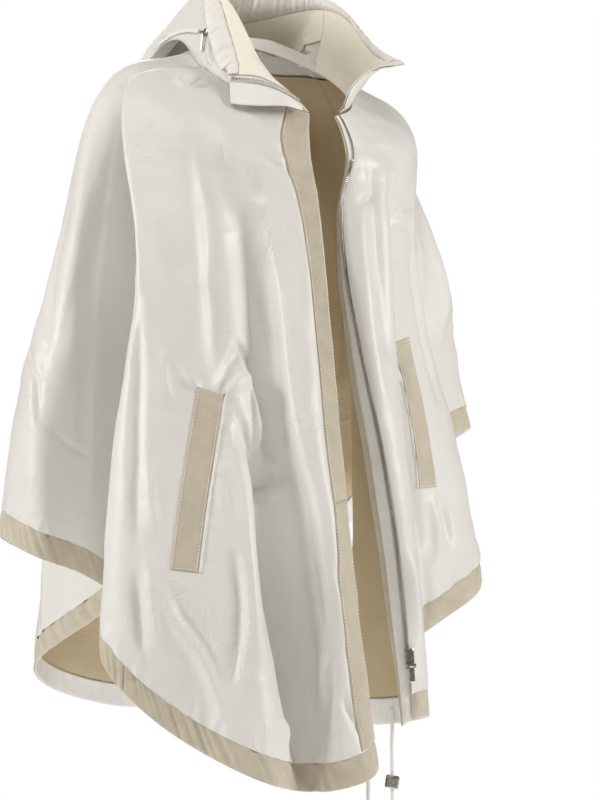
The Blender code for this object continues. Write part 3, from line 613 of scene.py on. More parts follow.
def sew_on(node, points, look, behind=None, flip=False):
    """Makes the cloth that replaces a node and hangs it on the cape. It works out the cut, the longest ways
    and the true flat area, but keeps it nowhere.
    """
    obj = cloth_object(node + "_cloth", points, look, behind, flip)
    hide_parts(node)
    across, down = true_sizes(points)
    wide = max(float(across[-1].max()), LEAST_CUT)
    long = max(float(down[:, -1].max()), LEAST_CUT)
    corners = np.cross(points[1:, 1:] - points[:-1, :-1], points[1:, :-1] - points[:-1, 1:])
    area = min(float(np.linalg.norm(corners, axis=-1).sum() / 2), 0.999 * wide * long)
    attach(obj, "cape")


# The satin shell cloth
# A dense ivory technical satin: a fine plain weave with a soft sheen. It is a little uneven in tone and
# gloss, with small crumples and sparse sharp creases from being worn.
WEAVE_WAVES = 5200.0


def noise(place, scale, detail, rough=0.5, twist=0.0):
    sockets = {"Vector": place, "Scale": scale, "Detail": detail, "Roughness": rough, "Distortion": twist}
    return place.node("ShaderNodeTexNoise", None, sockets)


def bump(height, strength, distance, under=None):
    sockets = {"Height": height, "Strength": strength, "Distance": distance}
    if under is not None:
        sockets["Normal"] = under
    return height.node("ShaderNodeBump", None, sockets)


def cut_axes(wire):
    """The ways across and down the cut, in metres, from the UV map."""
    spot = wire.node("ShaderNodeUVMap", {"uv_map": "UVMap"})
    across = wire.node("ShaderNodeSeparateXYZ", None, {"Vector": spot})
    return across, Wire(wire.tree, across.socket.node.outputs[1])


def satin_look(name, light, dark, rough):
    sheen = {"Sheen Weight": 0.12, "Sheen Roughness": 0.4, "Specular IOR Level": 0.45}
    made, shader, wire = new_look(name, sheen)
    place = wire.node("ShaderNodeNewGeometry")
    broad = noise(place, 7.0, 3.0)
    plug(two_tones(broad, 0.32, dark, 0.68, light), shader, "Base Color")
    plug(rough + broad * 0.10, shader, "Roughness")
    crumple = noise(place, 34.0, 4.0, 0.55, 0.6)
    folded = noise(place, 26.0, 3.0, 0.6, 1.4) - 0.5
    lines = (1 - folded.absolute() * 7).clamped() ** 3
    sparse = ((noise(place, 11.0, 1.0) - 0.45) * 5).clamped()
    across, down = cut_axes(wire)
    weave = (across * WEAVE_WAVES).sine() * (down * WEAVE_WAVES).sine()
    creased = bump(lines * sparse, 0.45, 0.0009, bump(crumple, 0.6, 0.0018))
    plug(bump(weave, 0.10, 0.0001, creased), shader, "Normal")
    return made


shell_look = satin_look("ivory_satin", (0.775, 0.764, 0.734), (0.735, 0.720, 0.678), 0.36)


# The right front
# The widest panel of satin. It hangs from the neck seam over the right shoulder and arm, from the placket
# seam to the side seam, and its foot is bound with suede.
BINDING_WIDE = 0.028
SHELL_LIFT = 0.0016
SHELL_FOOT = 0.0270
NECK_TOP = 0.0028


def bell(x, wide):
    """1 where x is 0, fading to nothing over this width."""
    return np.exp(-((x / wide) ** 2))


def hem_v(s, metres, square=0.0):
    """The v that lies this far up from the hem, and a distance measured square to the hem more."""
    down = cape_at(s, 1.0) - cape_at(s, 0.97)
    step = np.linalg.norm(down, axis=-1)
    hem_run = unit(cape_at(s + 0.001, 0.98) - cape_at(s - 0.001, 0.98))
    slant = np.linalg.norm(np.cross(down / step[:, None], hem_run), axis=-1)
    return 1 - (metres + square / slant) / step * 0.03


def panel_grid(start, end, columns, rows, top=NECK_TOP, foot=SHELL_FOOT):
    """The s and v of a panel, from the neck seam to the binding."""
    s = np.linspace(start, end, columns)
    t = np.linspace(0, 1, rows)
    v = top + t[None, :] * (hem_v(s, foot) - top)[:, None]
    return np.repeat(s[:, None], rows, axis=1), v


def seam_dip(s, v, start, end, deep):
    """How far a panel dips into its seams, so that each seam shows as a soft groove."""
    wide = true_width(cape_at, s, v)
    near = np.minimum((s - start) * wide, (end - s) * wide)
    low = (hem_v(s[:, 0], BINDING_WIDE)[:, None] - v) * DROP
    return deep * (bell(near, 0.0022) + bell(low, 0.0024))


def shell_panel(node, start, end, columns, rows):
    """A panel of satin with its seams dipped and its foot puckered by the binding."""
    s, v = panel_grid(start, end, columns, rows)
    up = (hem_v(s[:, 0], BINDING_WIDE)[:, None] - v) * DROP
    draw = np.random.default_rng(rows)
    pucker = np.zeros(s.shape)
    here = start
    while here < end:
        here += draw.uniform(0.007, 0.016)
        leaning = s - here - up * draw.uniform(-0.5, 0.1)
        high = draw.uniform(-0.0008, 0.0026)
        pucker += high * bell(leaning, draw.uniform(0.0030, 0.0050)) * bell(up, draw.uniform(0.010, 0.026))
    lift = np.maximum(SHELL_LIFT + pucker, SHELL_LIFT / 2) - seam_dip(s, v, start, end, 0.0007)
    points = cape_skin(s, v, lift)
    sew_on(node, points, shell_look)
    return points


right_points = shell_panel("right_front", PLACKET_SEAM + 0.0004, RIGHT_SEAM - SEAM_GAP, 250, 260)

# The back
# One panel of satin between the side seams. It has no seam down its middle, and long soft folds fall
# from the shoulder blades to the hem.
shell_panel("back", RIGHT_SEAM + SEAM_GAP, LEFT_SEAM - SEAM_GAP, 300, 210)

# The left front
# The panel of satin over the left shoulder and arm, from the side seam out to the zip on the open front
# edge. Its foot is bound with suede as the right front's is.
left_points = shell_panel("left_front", LEFT_SEAM + SEAM_GAP, LEFT_EDGE - SEAM_GAP, 230, 220)


# The suede of the trim
# A beige microsuede with a short nap. It is matt and mottled, a little lighter where the nap lies one way.
# The bindings, the placket, the welts and the facings are cut from it.
def suede_look(name, light, dark):
    nap_values = {"Roughness": 0.92, "Sheen Weight": 0.35, "Sheen Roughness": 0.5, "Specular IOR Level": 0.25}
    made, shader, wire = new_look(name, nap_values)
    place = wire.node("ShaderNodeNewGeometry")
    patch = noise(place, 60.0, 4.0, 0.6)
    nap = noise(place, 900.0, 3.0, 0.7)
    plug(two_tones(patch * 0.6 + nap * 0.4, 0.34, dark, 0.64, light), shader, "Base Color")
    plug(bump(nap, 0.35, 0.0003, bump(patch, 0.3, 0.0008)), shader, "Normal")
    return made


suede = suede_look("beige_suede", (0.585, 0.530, 0.420), (0.490, 0.435, 0.330))

# The hem bindings
# Bands of suede folded over the raw edge and sewn through. They are crowned, puckered along the seam and
# slanted a little by the sewing, and are joined end to end.
BINDING_ROWS = (
    ("right_front_binding", RIGHT_EDGE, BINDING_JOINT, 11, "right_front_cloth"),
    ("right_side_binding", BINDING_JOINT, RIGHT_SEAM, 12, "right_front_cloth"),
    ("back_binding", RIGHT_SEAM, LEFT_SEAM, 13, "back_cloth"),
    ("left_front_binding", LEFT_SEAM, LEFT_EDGE, 14, "left_front_cloth"),
)
# Columns: way up from the hem, way out of the cape's inner face (mm), the pucker's share
BINDING_PROFILE = np.array(
    [
        *((27.6, 0.4, 0.0), (27.7, 1.2, 0.3), (26.6, 1.9, 0.8), (24.0, 2.3, 1.0), (20.0, 2.5, 1.0)),
        *((15.0, 2.6, 1.0), (10.0, 2.6, 0.9), (6.0, 2.5, 0.8), (3.0, 2.3, 0.7), (1.0, 1.9, 0.5)),
        *((0.1, 1.2, 0.3), (0.3, 0.4, 0.2), (2.0, 0.1, 0.2), (14.0, 0.1, 0.2), (26.0, 0.1, 0.0)),
    ]
)
BINDING_SLANT = 0.014
PUCKER_DEEP = 0.0021


def puckers(s, start, end, seed, apart, high, wide):
    """Seeded puckers along a seam, each at a distance, height and width drawn from these ranges."""
    draw = np.random.default_rng(seed)
    found = np.zeros(len(s))
    here = start
    while here < end:
        here += draw.uniform(*apart)
        found += draw.uniform(*high) * bell(s - here, draw.uniform(*wide))
    return found


for binding_name, start, end, seed, carrier in BINDING_ROWS:
    s = np.linspace(start + 0.0004, end - 0.0004, int((end - start) / 0.0022))
    pulls = puckers(s, start, end, seed, (0.007, 0.017), (0.5, 1.2), (0.0024, 0.0045))
    ends = np.minimum(s - start, end - s)
    up, out, share = BINDING_PROFILE.T
    grid_s = s[:, None] + BINDING_SLANT * (up / 28 - 0.5)[None, :] * (1 - bell(ends, 0.02))[:, None]
    grid_s = np.clip(grid_s, start + SEAM_GAP, end - SEAM_GAP)
    grid_v = np.stack([hem_v(s, one * MM) for one in up], axis=1)
    full = 0.45 + 0.55 * (1 - bell(ends, 0.0016))[:, None]
    lift = out[None, :] * MM * full - np.minimum(pulls, 1.3)[:, None] * share[None, :] * PUCKER_DEEP
    points = cape_skin(grid_s, grid_v, np.maximum(lift, 0.0001))
    sew_on(binding_name, points, suede)

# The sewing thread
# Cream thread in short, even stitches that dip into the cloth at their ends. It runs along the placket,
# round the welts and along the collar's tab.
thread_look, thread_shader, thread_wire = new_look("cream_thread", {"Roughness": 0.6})
thread_tone = noise(thread_wire.node("ShaderNodeNewGeometry"), 1500.0, 2.0)
plug(two_tones(thread_tone, 0.3, (0.84, 0.81, 0.73), 0.7, (0.93, 0.91, 0.85)), thread_shader, "Base Color")
STITCH_PITCH = 0.0034
STITCH_LONG = 0.0024
STITCH_THICK = 0.00075
# The corners of a stitch: across, along and out, at its start, middle and end
STITCH_SHAPE = np.array(
    [
        (x * STITCH_THICK / 2 * size, end * STITCH_LONG / 2, z * STITCH_THICK * size)
        for end, size in ((-1, 0.5), (0, 1.0), (1, 0.5))
        for x, z in ((-1, -0.2), (1, -0.2), (0.7, 1), (-0.7, 1))
    ]
)


def block_sides(first):
    """The four sides between one ring of corners and the next."""
    return [(first + k, first + 4 + k, first + 4 + (k + 1) % 4, first + (k + 1) % 4) for k in range(4)]


STITCH_QUADS = [(0, 1, 2, 3), *block_sides(0), (8, 9, 10, 11), *[quad[::-1] for quad in block_sides(4)]]


def distances(line):
    """Distances in metres along a line of points."""
    return np.concatenate([[0], np.cumsum(np.linalg.norm(np.diff(line, axis=0), axis=1))])


def read_along(at, line, values):
    """Values that belong to the points of a line, read at places along it."""
    return np.stack([np.interp(at, distances(line), values[:, k]) for k in range(3)], axis=1)


def beads(name, middles, sides, runs, outs, shape, quads, look):
    """Copies of one small block, each turned with the path that it lies on."""
    axes = np.stack([sides, runs, outs], axis=1)
    points = middles[:, None, :] + np.einsum("pk,nkd->npd", shape, axes)
    faces = np.array(quads)[None, :, :] + (np.arange(len(middles)) * len(shape))[:, None, None]
    mesh = bpy.data.meshes.new(name)
    mesh.from_pydata(points.reshape(-1, 3).tolist(), [], faces.reshape(-1, 4).tolist())
    mesh.materials.append(look)
    obj = add_object(name, mesh)
    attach(obj, "cape")
    return obj


def stitch_line(name, lines, outs):
    """Stitches along lines of points that have these outward directions."""
    found = []
    for line, out in zip(lines, outs):
        at = np.arange(STITCH_PITCH / 2, distances(line)[-1], STITCH_PITCH)
        up = read_along(at, line, out)
        run = unit(read_along(at + 0.0005, line, line) - read_along(at - 0.0005, line, line))
        found.append((read_along(at, line, line), np.cross(run, up), run, up))
    middles, sides, runs, ups = (np.concatenate(parts) for parts in zip(*found))
    beads(name, middles, sides, runs, ups, STITCH_SHAPE, STITCH_QUADS, thread_look)


# The placket
# A strip of suede over the right front's zip, sewn on along the placket seam and cut in two by a cross
# seam. It is crowned, softly uneven, and thinner where it is turned under.
PLACKET_CROSS = 0.68
placket_s = np.linspace(RIGHT_EDGE + 0.0002, PLACKET_SEAM - SEAM_GAP, 26)
placket_foot = float(hem_v(np.array([0.015]), BINDING_WIDE)[0])
cross_v = NECK_TOP + PLACKET_CROSS * (placket_foot - NECK_TOP)
PLACKET_ROWS = (
    ("right_placket_upper", NECK_TOP, np.full_like(placket_s, cross_v - 0.0005), 190),
    ("right_placket_lower", cross_v + 0.0005, hem_v(placket_s, BINDING_WIDE, 0.0005), 100),
)
for placket_name, low_v, foot, rows in PLACKET_ROWS:
    t = np.linspace(0, 1, rows)
    x = np.linspace(0, 1, len(placket_s))[:, None]
    grid_v = low_v + t[None, :] * (foot - low_v)[:, None]
    grid_s = np.repeat(placket_s[:, None], rows, axis=1)
    crown = 0.0021 - 0.0010 * (bell(x, 0.05) + 1.2 * bell(1 - x, 0.06))
    crown = crown - 0.0006 * (bell(t, 0.008) + bell(1 - t, 0.008))[None, :]
    crown = crown + ripple(grid_s, grid_v, 21, 0.05, 0.0005)
    points = cape_skin(grid_s, grid_v, crown)
    up = unit(np.cross(np.gradient(points, axis=0), np.gradient(points, axis=1)))
    stitch_line(placket_name + "_stitches", [points[2], points[-3]], [up[2], up[-3]])
    behind = cape_skin(grid_s, grid_v, 0.0002)
    sew_on(placket_name, points, suede, behind)

# The lining and the white facing along the inside of the hem
# Golden tan satin hangs inside the back and the left front. It is sewn to a crinkled white tape that
# finishes the hem on the inside.
lining_look = satin_look("golden_lining", (0.560, 0.450, 0.285), (0.480, 0.375, 0.225), 0.38)


def tape_look(name, light, dark):
    made, shader, wire = new_look(name, {"Roughness": 0.75, "Sheen Weight": 0.15, "Specular IOR Level": 0.35})
    patch = noise(wire.node("ShaderNodeNewGeometry"), 90.0, 3.0)
    plug(two_tones(patch, 0.3, dark, 0.7, light), shader, "Base Color")
    across, down = cut_axes(wire)
    twill = ((across + down) * WEAVE_WAVES).sine()
    plug(bump(twill, 0.25, 0.0002, bump(patch, 0.4, 0.0010)), shader, "Normal")
    return made


tape = tape_look("white_tape", (0.84, 0.83, 0.79), (0.78, 0.76, 0.71))
LINING_TOP = 0.05
LINING_FOOT = 0.0284
LINING_LIFT = -0.0009
LINING_ROWS = (
    ("back_lining", "back_hem_facing", RIGHT_SEAM, LEFT_SEAM, 210, 130, "back_cloth"),
    ("left_front_lining", "left_front_hem_facing", LEFT_SEAM, LINED_LEFT_END, 150, 120, "left_front_cloth"),
)
for lining_name, facing_name, start, end, columns, rows, carrier in LINING_ROWS:
    s, v = panel_grid(start + SEAM_GAP, end - SEAM_GAP, columns, rows, LINING_TOP, LINING_FOOT)
    points = cape_skin(s, v, LINING_LIFT + seam_dip(s, v, start, end, 0.0004), 0.9)
    sew_on(lining_name, points, lining_look, None, True)
    s = np.linspace(start + SEAM_GAP, end - SEAM_GAP, int((end - start) / 0.003))
    up = np.linspace(BINDING_WIDE - SEAM_GAP, 0.0004, 11)
    grid_v = np.stack([hem_v(s, one) for one in up], axis=1)
    crinkle = 0.0005 * np.sin(s * 420 + 3 * np.sin(s * 61))[:, None] * np.linspace(0.2, 1, len(up))[None, :]
    front = cape_skin(s[:, None], grid_v, -0.0005 + np.minimum(crinkle, 0) * 0.5)
    behind = cape_skin(s[:, None], grid_v, -0.0014 + crinkle * 0.6)
    sew_on(facing_name, front, tape, behind)

# The left front edge: zip tape, guard and facing
# A woven tape holds the zip's left row of teeth. A white guard flap hangs behind it, and a suede facing
# behind that finishes the lining's front edge.
# Columns: node, start, end, v of its top and foot, lift of its inner and outer face (m), points across, look
EDGE_ROWS = (
    ("left_zip_tape", LEFT_EDGE - 0.007, LEFT_EDGE + 0.0048, 0.145, 0.905, -0.0012, -0.0005, 6, tape),
    ("left_zip_guard", LEFT_EDGE - 0.014, GUARD_EDGE, 0.0015, 0.998, -0.0026, -0.0016, 12, tape),
    ("left_facing", LINED_LEFT_END + 0.0006, FACING_EDGE, 0.0015, 0.998, -0.0042, -0.0030, 16, suede),
)


def rolled(columns, inner, outer, wide):
    """How far a strip's faces close up at its two rolled edges, and its way across from 0 to 1."""
    x = np.linspace(0, 1, columns)[:, None]
    return 0.35 * (outer - inner) * (bell(x, wide) + bell(1 - x, wide)), x


for edge_name, start, end, top, foot, inner, outer, columns, look in EDGE_ROWS:
    slot_name = "suede" if look is suede else "white_tape"
    grid_s = np.linspace(start, end, columns)[:, None]
    grid_v = np.linspace(top, foot, 240)
    close, x = rolled(columns, inner, outer, 0.05)
    if edge_name != "left_zip_tape":
        grid_s = grid_s + 0.003 * x * bell(grid_v, 0.07)
    wave = 0.0006 * np.sin(grid_v * 31 + 2 * np.sin(grid_v * 9)) * x**2
    front = cape_skin(grid_s, grid_v, outer - close + wave)
    behind = cape_skin(grid_s, grid_v, inner + close + wave)
    sew_on(edge_name, front, look, behind)


# The metal of the zips
# Nickel with fine brushing and small dull patches from handling. The teeth are satin, and each row is
# made of separate bevelled teeth clamped on the edge of its tape.
def nickel_look(name, light, dark, rough):
    made, shader, wire = new_look(name, {"Metallic": 1.0})
    place = wire.node("ShaderNodeNewGeometry")
    smear = noise(place, 300.0, 3.0)
    plug(two_tones(smear, 0.3, dark, 0.7, light), shader, "Base Color")
    plug(rough + smear * 0.18, shader, "Roughness")
    plug(bump(noise(place, 2500.0, 2.0), 0.12, 0.0001), shader, "Normal")
    return made


nickel = nickel_look("satin_nickel", (0.74, 0.71, 0.66), (0.60, 0.575, 0.53), 0.26)
TOOTH_QUADS = [(0, 3, 2, 1), (8, 9, 10, 11)]
TOOTH_QUADS += [(a + b, (a + 1) % 4 + b, (a + 1) % 4 + b + 4, a + b + 4) for b in (0, 4) for a in range(4)]


def path_frame(line, outs):
    """Unit directions along a path and square out of it."""
    run = unit(np.gradient(line, axis=0))
    return run, unit(outs - run * (outs * run).sum(axis=1, keepdims=True))


def tooth_row(name, line, runs, outs, pitch, size, node):
    """A row of small zip teeth along a path, each a bevelled block with a raised head."""
    long, wide, high = size
    shape = []
    for z, narrow, short in ((0.0, 1.0, 1.0), (0.6, 0.72, 0.8), (1.0, 0.72 * 0.8, 0.8 * 0.8)):
        for x, y in SQUARE:
            shape.append((x * wide / 2 * narrow, y * long / 2 * short, z * high))
    at = (np.arange(int(distances(line)[-1] / pitch)) + 0.5) * pitch
    run = read_along(at, line, runs)
    out = read_along(at, line, outs)
    side = unit(np.cross(run, out))
    middles = read_along(at, line, line)
    row = beads(name, middles, side, run, out, np.array(shape), TOOTH_QUADS, nickel)
    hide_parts(node)


v = np.linspace(0.148, 0.903, 260)
s = LEFT_EDGE + 0.0027
middle = cape_skin(s, v, -0.0004)
run, out = path_frame(middle, normals_of(cape_at, s, v))
tooth_row("left_zip_teeth", middle, run, out, 0.0023, (0.0013, 0.0044, 0.0022), "left_zip_chain")

# The hood and its collar
# The hood is cut in one with a stand collar from the shell's satin. It lies back on the shoulders, and both
# front corners flop outwards. A groove marks the seam of its drawcord channel.
# Columns: name, turn at the neck seam, then five points x y z (mm) from the neck to the free edge
HOOD_ROWS = (
    ("tab_edge", 10.5, -36, -106, -53, -56, -105, -51, -76, -99, -52, -88, -88, -51, -98, -76, -49),
    ("right_edge", 11, -38, -102, -43, -54, -97, -34, -68, -87, -28, -78, -74, -25, -86, -56, -23),
    ("right_front", 45, -56, -69, -27, -52, -63, -14, -52, -57, 0, -62, -52, 6, -81, -32, -7),
    ("right_side", 75, -75, -31, -6, -69, -33, 10, -60, -36, 28, -61, -29, 47, -82, -8, 36),
    ("right_back", 100, -82, 16, 16, -77, 18, 34, -67, 14, 56, -60, 10, 80, -74, 12, 72),
    ("hood_side", 122, -78, 52, 32, -85, 63, 36, -79, 66, 54, -62, 52, 86, -66, 40, 95),
    ("back_right", 145, -60, 86, 42, -84, 136, -12, -76, 138, 18, -50, 88, 72, -50, 66, 104),
    ("back", 180, 0, 112, 34, 0, 188, -92, 0, 204, -52, 0, 162, 42, 0, 114, 98),
    ("back_left", 216, 64, 82, 42, 98, 136, -8, 96, 140, 22, 80, 102, 64, 66, 72, 104),
    ("left_back", 255, 85, 26, 20, 92, 32, 34, 99, 34, 51, 101, 33, 72, 99, 36, 94),
    ("left_side", 285, 85, -31, -5, 94, -28, 14, 101, -24, 30, 107, -14, 50, 109, 2, 73),
    ("left_front", 315, 66, -72, -27, 78, -69, -12, 92, -63, 0, 103, -57, 14, 107, -50, 32),
    ("left_edge", 341, 31, -106, -42, 42, -107, -26, 62, -107, -8, 84, -106, -1, 106, -104, 3),
)
hood_names = [row[0] for row in HOOD_ROWS]
hood_table = np.array([row[2:] for row in HOOD_ROWS], float).reshape(len(HOOD_ROWS), 5, 3) * MM
hood_grid = np.concatenate([neck_seam([row[1] for row in HOOD_ROWS])[:, None, :], hood_table], axis=1)
HOOD_ALONG = along_folds(hood_grid[:, 0], 0.5, hood_grid[:, 3])
HOOD_LEVELS = np.array([0.0, 0.18, 0.38, 0.58, 0.78, 1.0])
hood_rows = Curve(HOOD_ALONG, hood_grid)


def hood_along(name):
    return float(HOOD_ALONG[hood_names.index(name)])


def hood_at(s, w):
    """Points of the hood's outer face. s runs from the right edge to the left, w from neck to free edge."""
    return through_levels(hood_rows, HOOD_LEVELS, s, w)


# Columns: height, half width on each side (mm), then pairs of way round (0.1 mm) and w (thousandths)
HOOD_CREASES = (
    (-2.2, 6, 8, 2000, 120, 2200, 340, 2350, 560),
    (2.0, 6, 8, 2450, 100, 2620, 320, 2700, 540),
    (-2.4, 7, 9, 3000, 200, 3200, 420, 3300, 660),
    (2.2, 8, 9, 3600, 220, 3700, 440, 3700, 700),
    (-2.2, 7, 9, 4200, 180, 4200, 400, 4100, 660),
    (2.0, 7, 8, 4700, 160, 4600, 380, 4550, 620),
    (-1.8, 6, 8, 5200, 140, 5100, 360, 5000, 600),
    (1.4, 5, 6, 6200, 140, 6300, 360, 6300, 600),
    (-1.4, 5, 6, 6800, 120, 6850, 340, 6900, 580),
    (-1.3, 4, 5, 1000, 160, 1100, 400, 1200, 660),
    (1.2, 4, 5, 1300, 140, 1400, 380, 1500, 620),
)
hood_creases = crease_rows(HOOD_CREASES)


def hood_skin(s, w, lift):
    """Points of the hood lifted out of its outer face, with the creases in."""
    s, w = np.broadcast_arrays(np.asarray(s, float), np.asarray(w, float))
    height = crease_height(s, w, hood_creases, true_width(hood_at, s, w))
    height += ripple(s, w * 0.3, 31, 0.06, 0.0005)
    return hood_at(s, w) + normals_of(hood_at, s, w, -1.0) * (lift + height)[..., None]


HOOD_START = 0.008
CHANNEL_SEAM = 0.87
HOOD_FIRST = hood_along("right_edge")
HOOD_LAST = hood_along("left_edge")
grid_s = np.linspace(HOOD_FIRST, HOOD_LAST, 260)[:, None]
grid_w = np.linspace(HOOD_START, 1.0, 130)
gather = 0.0007 * np.sin(grid_s * 520 + 3 * np.sin(grid_s * 83))
gather = gather * np.clip((grid_w - CHANNEL_SEAM + 0.06) / 0.1, 0, 1)
groove = -0.0010 * bell(grid_w - CHANNEL_SEAM, 0.012)
points = hood_skin(grid_s, grid_w, -0.0003 + gather + groove)
behind = hood_skin(grid_s, grid_w, -0.0014 + gather + groove)
sew_on("hood_shell", points, shell_look, behind, True)

# The inside of the hood
# A paler suede in three pieces, right collar, back and left collar. It is sewn in along the collar's
# edges and ends at the white drawcord channel.
inside_suede = suede_look("pale_suede", (0.940, 0.890, 0.790), (0.885, 0.825, 0.715))
RIGHT_JOIN = hood_along("right_back")
LEFT_JOIN = hood_along("left_back")
FACING_ROWS = (
    ("hood_facing_right", HOOD_FIRST + 0.005, RIGHT_JOIN - SEAM_GAP, 0.012, 80),
    ("hood_facing_back", RIGHT_JOIN + SEAM_GAP, LEFT_JOIN - SEAM_GAP, 0.52, 130),
    ("hood_facing_left", LEFT_JOIN + SEAM_GAP, HOOD_LAST - 0.012, 0.012, 80),
)
for facing_name, start, end, low_w, columns in FACING_ROWS:
    s = np.linspace(start, end, columns)[:, None]
    w = np.linspace(low_w, CHANNEL_SEAM - 0.010, 60)
    front = hood_skin(s, w, -0.0032)
    behind = hood_skin(s, w, -0.0022)
    sew_on(facing_name, front, inside_suede, behind)

# The drawcord channel of the hood's edge
# A white strip sewn along the inside of the free edge, which holds the hood's cord. The cord gathers it
# in small uneven tucks.
channel_look = satin_look("white_channel", (0.860, 0.840, 0.790), (0.820, 0.795, 0.735), 0.42)
TUCK_DEEP = 0.0034
s = np.linspace(HOOD_FIRST + 0.0055, HOOD_LAST - 0.0125, 420)
x = np.linspace(0, 1, 15)
w = CHANNEL_SEAM - 0.002 + x * (1.0 - CHANNEL_SEAM + 0.002)
tuck = puckers(s, s[0], s[-1], 41, (0.005, 0.012), (0.3, 1.0), (0.0022, 0.0044))
crown = (0.0010 + 0.0030 * np.sin(np.pi * np.clip(x, 0.02, 0.98)) ** 0.6)[None, :]
tucks = TUCK_DEEP * tuck[:, None] * (0.35 + np.abs(x - 0.35))[None, :]
front = hood_skin(s[:, None], w, -0.0021 - crown + np.minimum(tucks, crown * 0.7))
behind = hood_skin(s[:, None], w, -0.0020)
sew_on("hood_channel", front, channel_look, behind)

# The collar's open edges
# A white strip stiffens the left edge. The right edge carries the zip's right row of teeth, with larger
# stops at its end, and a white tab sewn under it.
TAB_EDGE = hood_along("tab_edge")
# Columns: node, start, end, lift of its inner and outer face (m), w of its foot, points across, look
COLLAR_ROWS = (
    ("left_collar_strip", HOOD_LAST - 0.0114, HOOD_LAST, -0.0034, -0.0022, 0.012, 10, tape),
    ("right_collar_zip", HOOD_FIRST + 0.0003, HOOD_FIRST + 0.0042, -0.0028, -0.0022, 0.11, 5, tape),
    ("right_collar_tab", TAB_EDGE, HOOD_FIRST - 0.0006, -0.0016, -0.0002, 0.11, 12, channel_look),
)
for collar_name, start, end, inner, outer, low_w, columns, look in COLLAR_ROWS:
    s = np.linspace(start, end, columns)[:, None]
    w = np.linspace(low_w, 1.0, 90)
    close, x = rolled(columns, inner, outer, 0.08)
    front = hood_skin(s, w, outer - close)
    behind = hood_skin(s, w, inner + close)
    if collar_name == "right_collar_tab":
        up = normals_of(hood_at, s, w, -1.0)
        shown = hood_skin(s, w, outer)
        stitch_line(collar_name + "_stitches", [shown[1], shown[:, 2]], [up[1], up[:, 2]])
    sew_on(collar_name, front, look, behind, True)
w = np.linspace(0.13, 0.97, 120)
s = HOOD_FIRST + 0.0012
middle = hood_skin(s, w, -0.0026)
run, out = path_frame(middle, -normals_of(hood_at, s, w, -1.0))
tooth_row("collar_zip_teeth", middle, run, out, 0.0026, (0.0015, 0.0030, 0.0020), "right_collar_zip")
stops = slice(106, 120)
stop_size = (0.0028, 0.0040, 0.0026)
tooth_row("collar_end_stops", middle[stops], run[stops], out[stops], 0.0036, stop_size, "right_collar_zip")

# The sliders, the pulls and the cord lock
# Cast nickel, polished bright. The hood's slider runs on a short strip of chain beside the neck, and a
# pull hangs from each slider.
slider_nickel = nickel_look("bright_nickel", (0.64, 0.62, 0.59), (0.42, 0.41, 0.40), 0.12)
HARDWARE_ROWS = (
    ("hood_zip_chain", channel_look),
    ("hood_zip_slider", slider_nickel),
    ("hood_zip_pull", slider_nickel),
    ("left_zip_slider", slider_nickel),
    ("left_zip_pull", slider_nickel),
    ("cord_lock", slider_nickel),
)
for node_name, look in HARDWARE_ROWS:
    node_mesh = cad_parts[node_name].data
    node_mesh.materials.clear()
    node_mesh.materials.append(look)

# The pocket welts
# A suede strip sewn down all round over each pocket's mouth, with a thin rolled edge of shell beside the
# opening. Both lie on the front's own surface and follow its creases.
# Columns: name, panel, s and v of the top and of the foot, the side of the opening, carrier
POCKET_ROWS = (
    ("right_pocket", right_points, 0.2031, 0.5313, 0.2183, 0.7744, -1, "right_front_cloth"),
    ("left_pocket", left_points, 1.9752, 0.4887, 1.9879, 0.7444, 1, "left_front_cloth"),
)
WELT_WIDE = 0.027
for pocket_name, panel_points, top_s, top_v, low_s, low_v, side, carrier in POCKET_ROWS:
    panel_faces = grid_faces(*panel_points.shape[:2])
    tree = BVHTree.FromPolygons(panel_points.reshape(-1, 3).tolist(), panel_faces.tolist())
    u = np.linspace(0, 1, 90)
    line_s = top_s + (low_s - top_s) * u
    line_v = top_v + (low_v - top_v) * u
    middle = cape_at(line_s, line_v)
    out = normals_of(cape_at, line_s, line_v)
    over = unit(np.cross(np.gradient(middle, axis=0), out))
    edge_offsets = side * (0.5 * WELT_WIDE + np.linspace(0.0008, 0.0036, 7))
    strips = (
        (pocket_name + "_welt", np.linspace(-0.5, 0.5, 18) * WELT_WIDE, 0.0014, suede, "suede", False),
        (pocket_name + "_edge", edge_offsets, 0.0018, shell_look, "shell", side < 0),
    )
    for strip_name, offsets, thick, look, slot_name, flip in strips:
        front = np.zeros((len(u), len(offsets), 3))
        behind = np.zeros_like(front)
        for i in range(len(u)):
            for j, offset in enumerate(offsets):
                place = tree.find_nearest(Vector(middle[i] + over[i] * offset + out[i] * 0.004))[0]
                edge = min(i, len(u) - 1 - i) * 0.0021
                edge = min(edge, abs(offset - offsets[0]), abs(offset - offsets[-1]))
                crown = thick * (0.45 + 0.55 * (1 - bell(edge, 0.0012)))
                if slot_name == "suede":
                    crown -= 0.0008 * bell(edge - 0.0024, 0.0009)
                front[i, j] = np.array(place) + out[i] * crown
                behind[i, j] = np.array(place) - out[i] * 0.0002
        sew_on(strip_name, front, look, behind, flip)
        if slot_name == "suede":
            up = np.repeat(out[:, None, :], len(offsets), axis=1)
            lines = [front[1:-1, 1], front[1:-1, -2], front[1, 1:-1], front[-2, 1:-1]]
            outs = [up[1:-1, 1], up[1:-1, -2], up[1, 1:-1], up[-2, 1:-1]]
            stitch_line(strip_name + "_stitches", lines, outs)

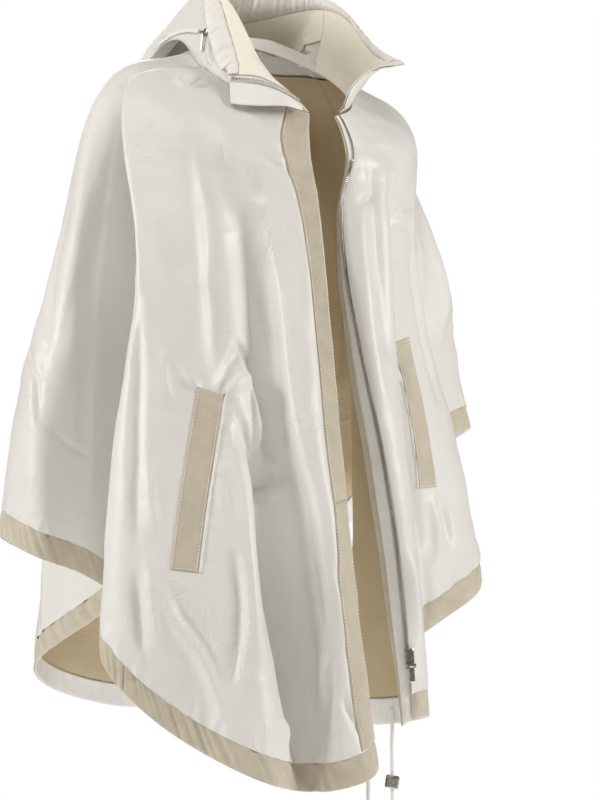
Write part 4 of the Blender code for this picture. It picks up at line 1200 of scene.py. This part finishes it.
# The drawcords
# White braided cord, four millimetres thick, run through the hem. Each leaves the inside of the hem by a
# front edge and hangs free to a cut end.
cord_look, cord_shader, cord_wire = new_look("white_cord", {"Roughness": 0.8, "Sheen Weight": 0.2})
cord_tone = noise(cord_wire.node("ShaderNodeNewGeometry"), 700.0, 3.0)
plug(two_tones(cord_tone, 0.3, (0.70, 0.69, 0.66), 0.7, (0.86, 0.85, 0.82)), cord_shader, "Base Color")
plug(bump(cord_tone, 0.4, 0.0003), cord_shader, "Normal")
CORD_THICK = 0.004
STRAND_WAVES = 1500
# Columns: name, the pieces on it, then the route's points x y z (mm)
CORD_ROWS = (
    ("left_drawcord", ["cord_lock"], (55.4, -146.7, -674.7), (55.9, -147.8, -694.0), (55.5, -148.0, -713.3),
     (55.0, -148.9, -732.6), (54.3, -150.0, -751.9), (53.4, -151.3, -771.2), (52.4, -152.8, -790.4),
     (51.9, -153.6, -799.4)),
    ("right_drawcord", [], (-70.3, -272.4, -700.7), (-69.8, -275.3, -715.8), (-69.7, -275.3, -731.1),
     (-69.4, -274.9, -746.4), (-69.1, -274.5, -761.7), (-68.6, -273.7, -777.1), (-68.1, -272.9, -792.4),
     (-67.8, -272.5, -799.4)),
)
for cord_name, with_pieces, *places in CORD_ROWS:
    places = np.array(places) * MM
    knots = distances(places)
    route = Curve(knots, places)(np.linspace(0, knots[-1], 20))
    fine = Curve(knots, places)(np.linspace(0, knots[-1], 170))
    run = unit(np.gradient(fine, axis=0))
    side = unit(np.cross(run, (0.0, 1.0, 0.0)))
    other = np.cross(run, side)
    turn = np.linspace(0, 2 * math.pi, 21)
    where = np.linspace(0, knots[-1], len(fine))[:, None]
    braid = np.sin(3 * turn + where * STRAND_WAVES) * np.sin(3 * turn - where * STRAND_WAVES)
    radius = CORD_THICK / 2 * (0.95 + 0.07 * braid)
    closing = np.minimum(where, knots[-1] - where)
    radius = (radius * np.sqrt(1 - np.clip(1 - closing / 0.0016, 0, 0.98) ** 2))[..., None]
    around = side[:, None, :] * np.cos(turn)[:, None] + other[:, None, :] * np.sin(turn)[:, None]
    tube = cloth_object(cord_name + "_braid", fine[:, None, :] + radius * around, cord_look)
    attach(tube, "cape")
    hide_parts(cord_name)
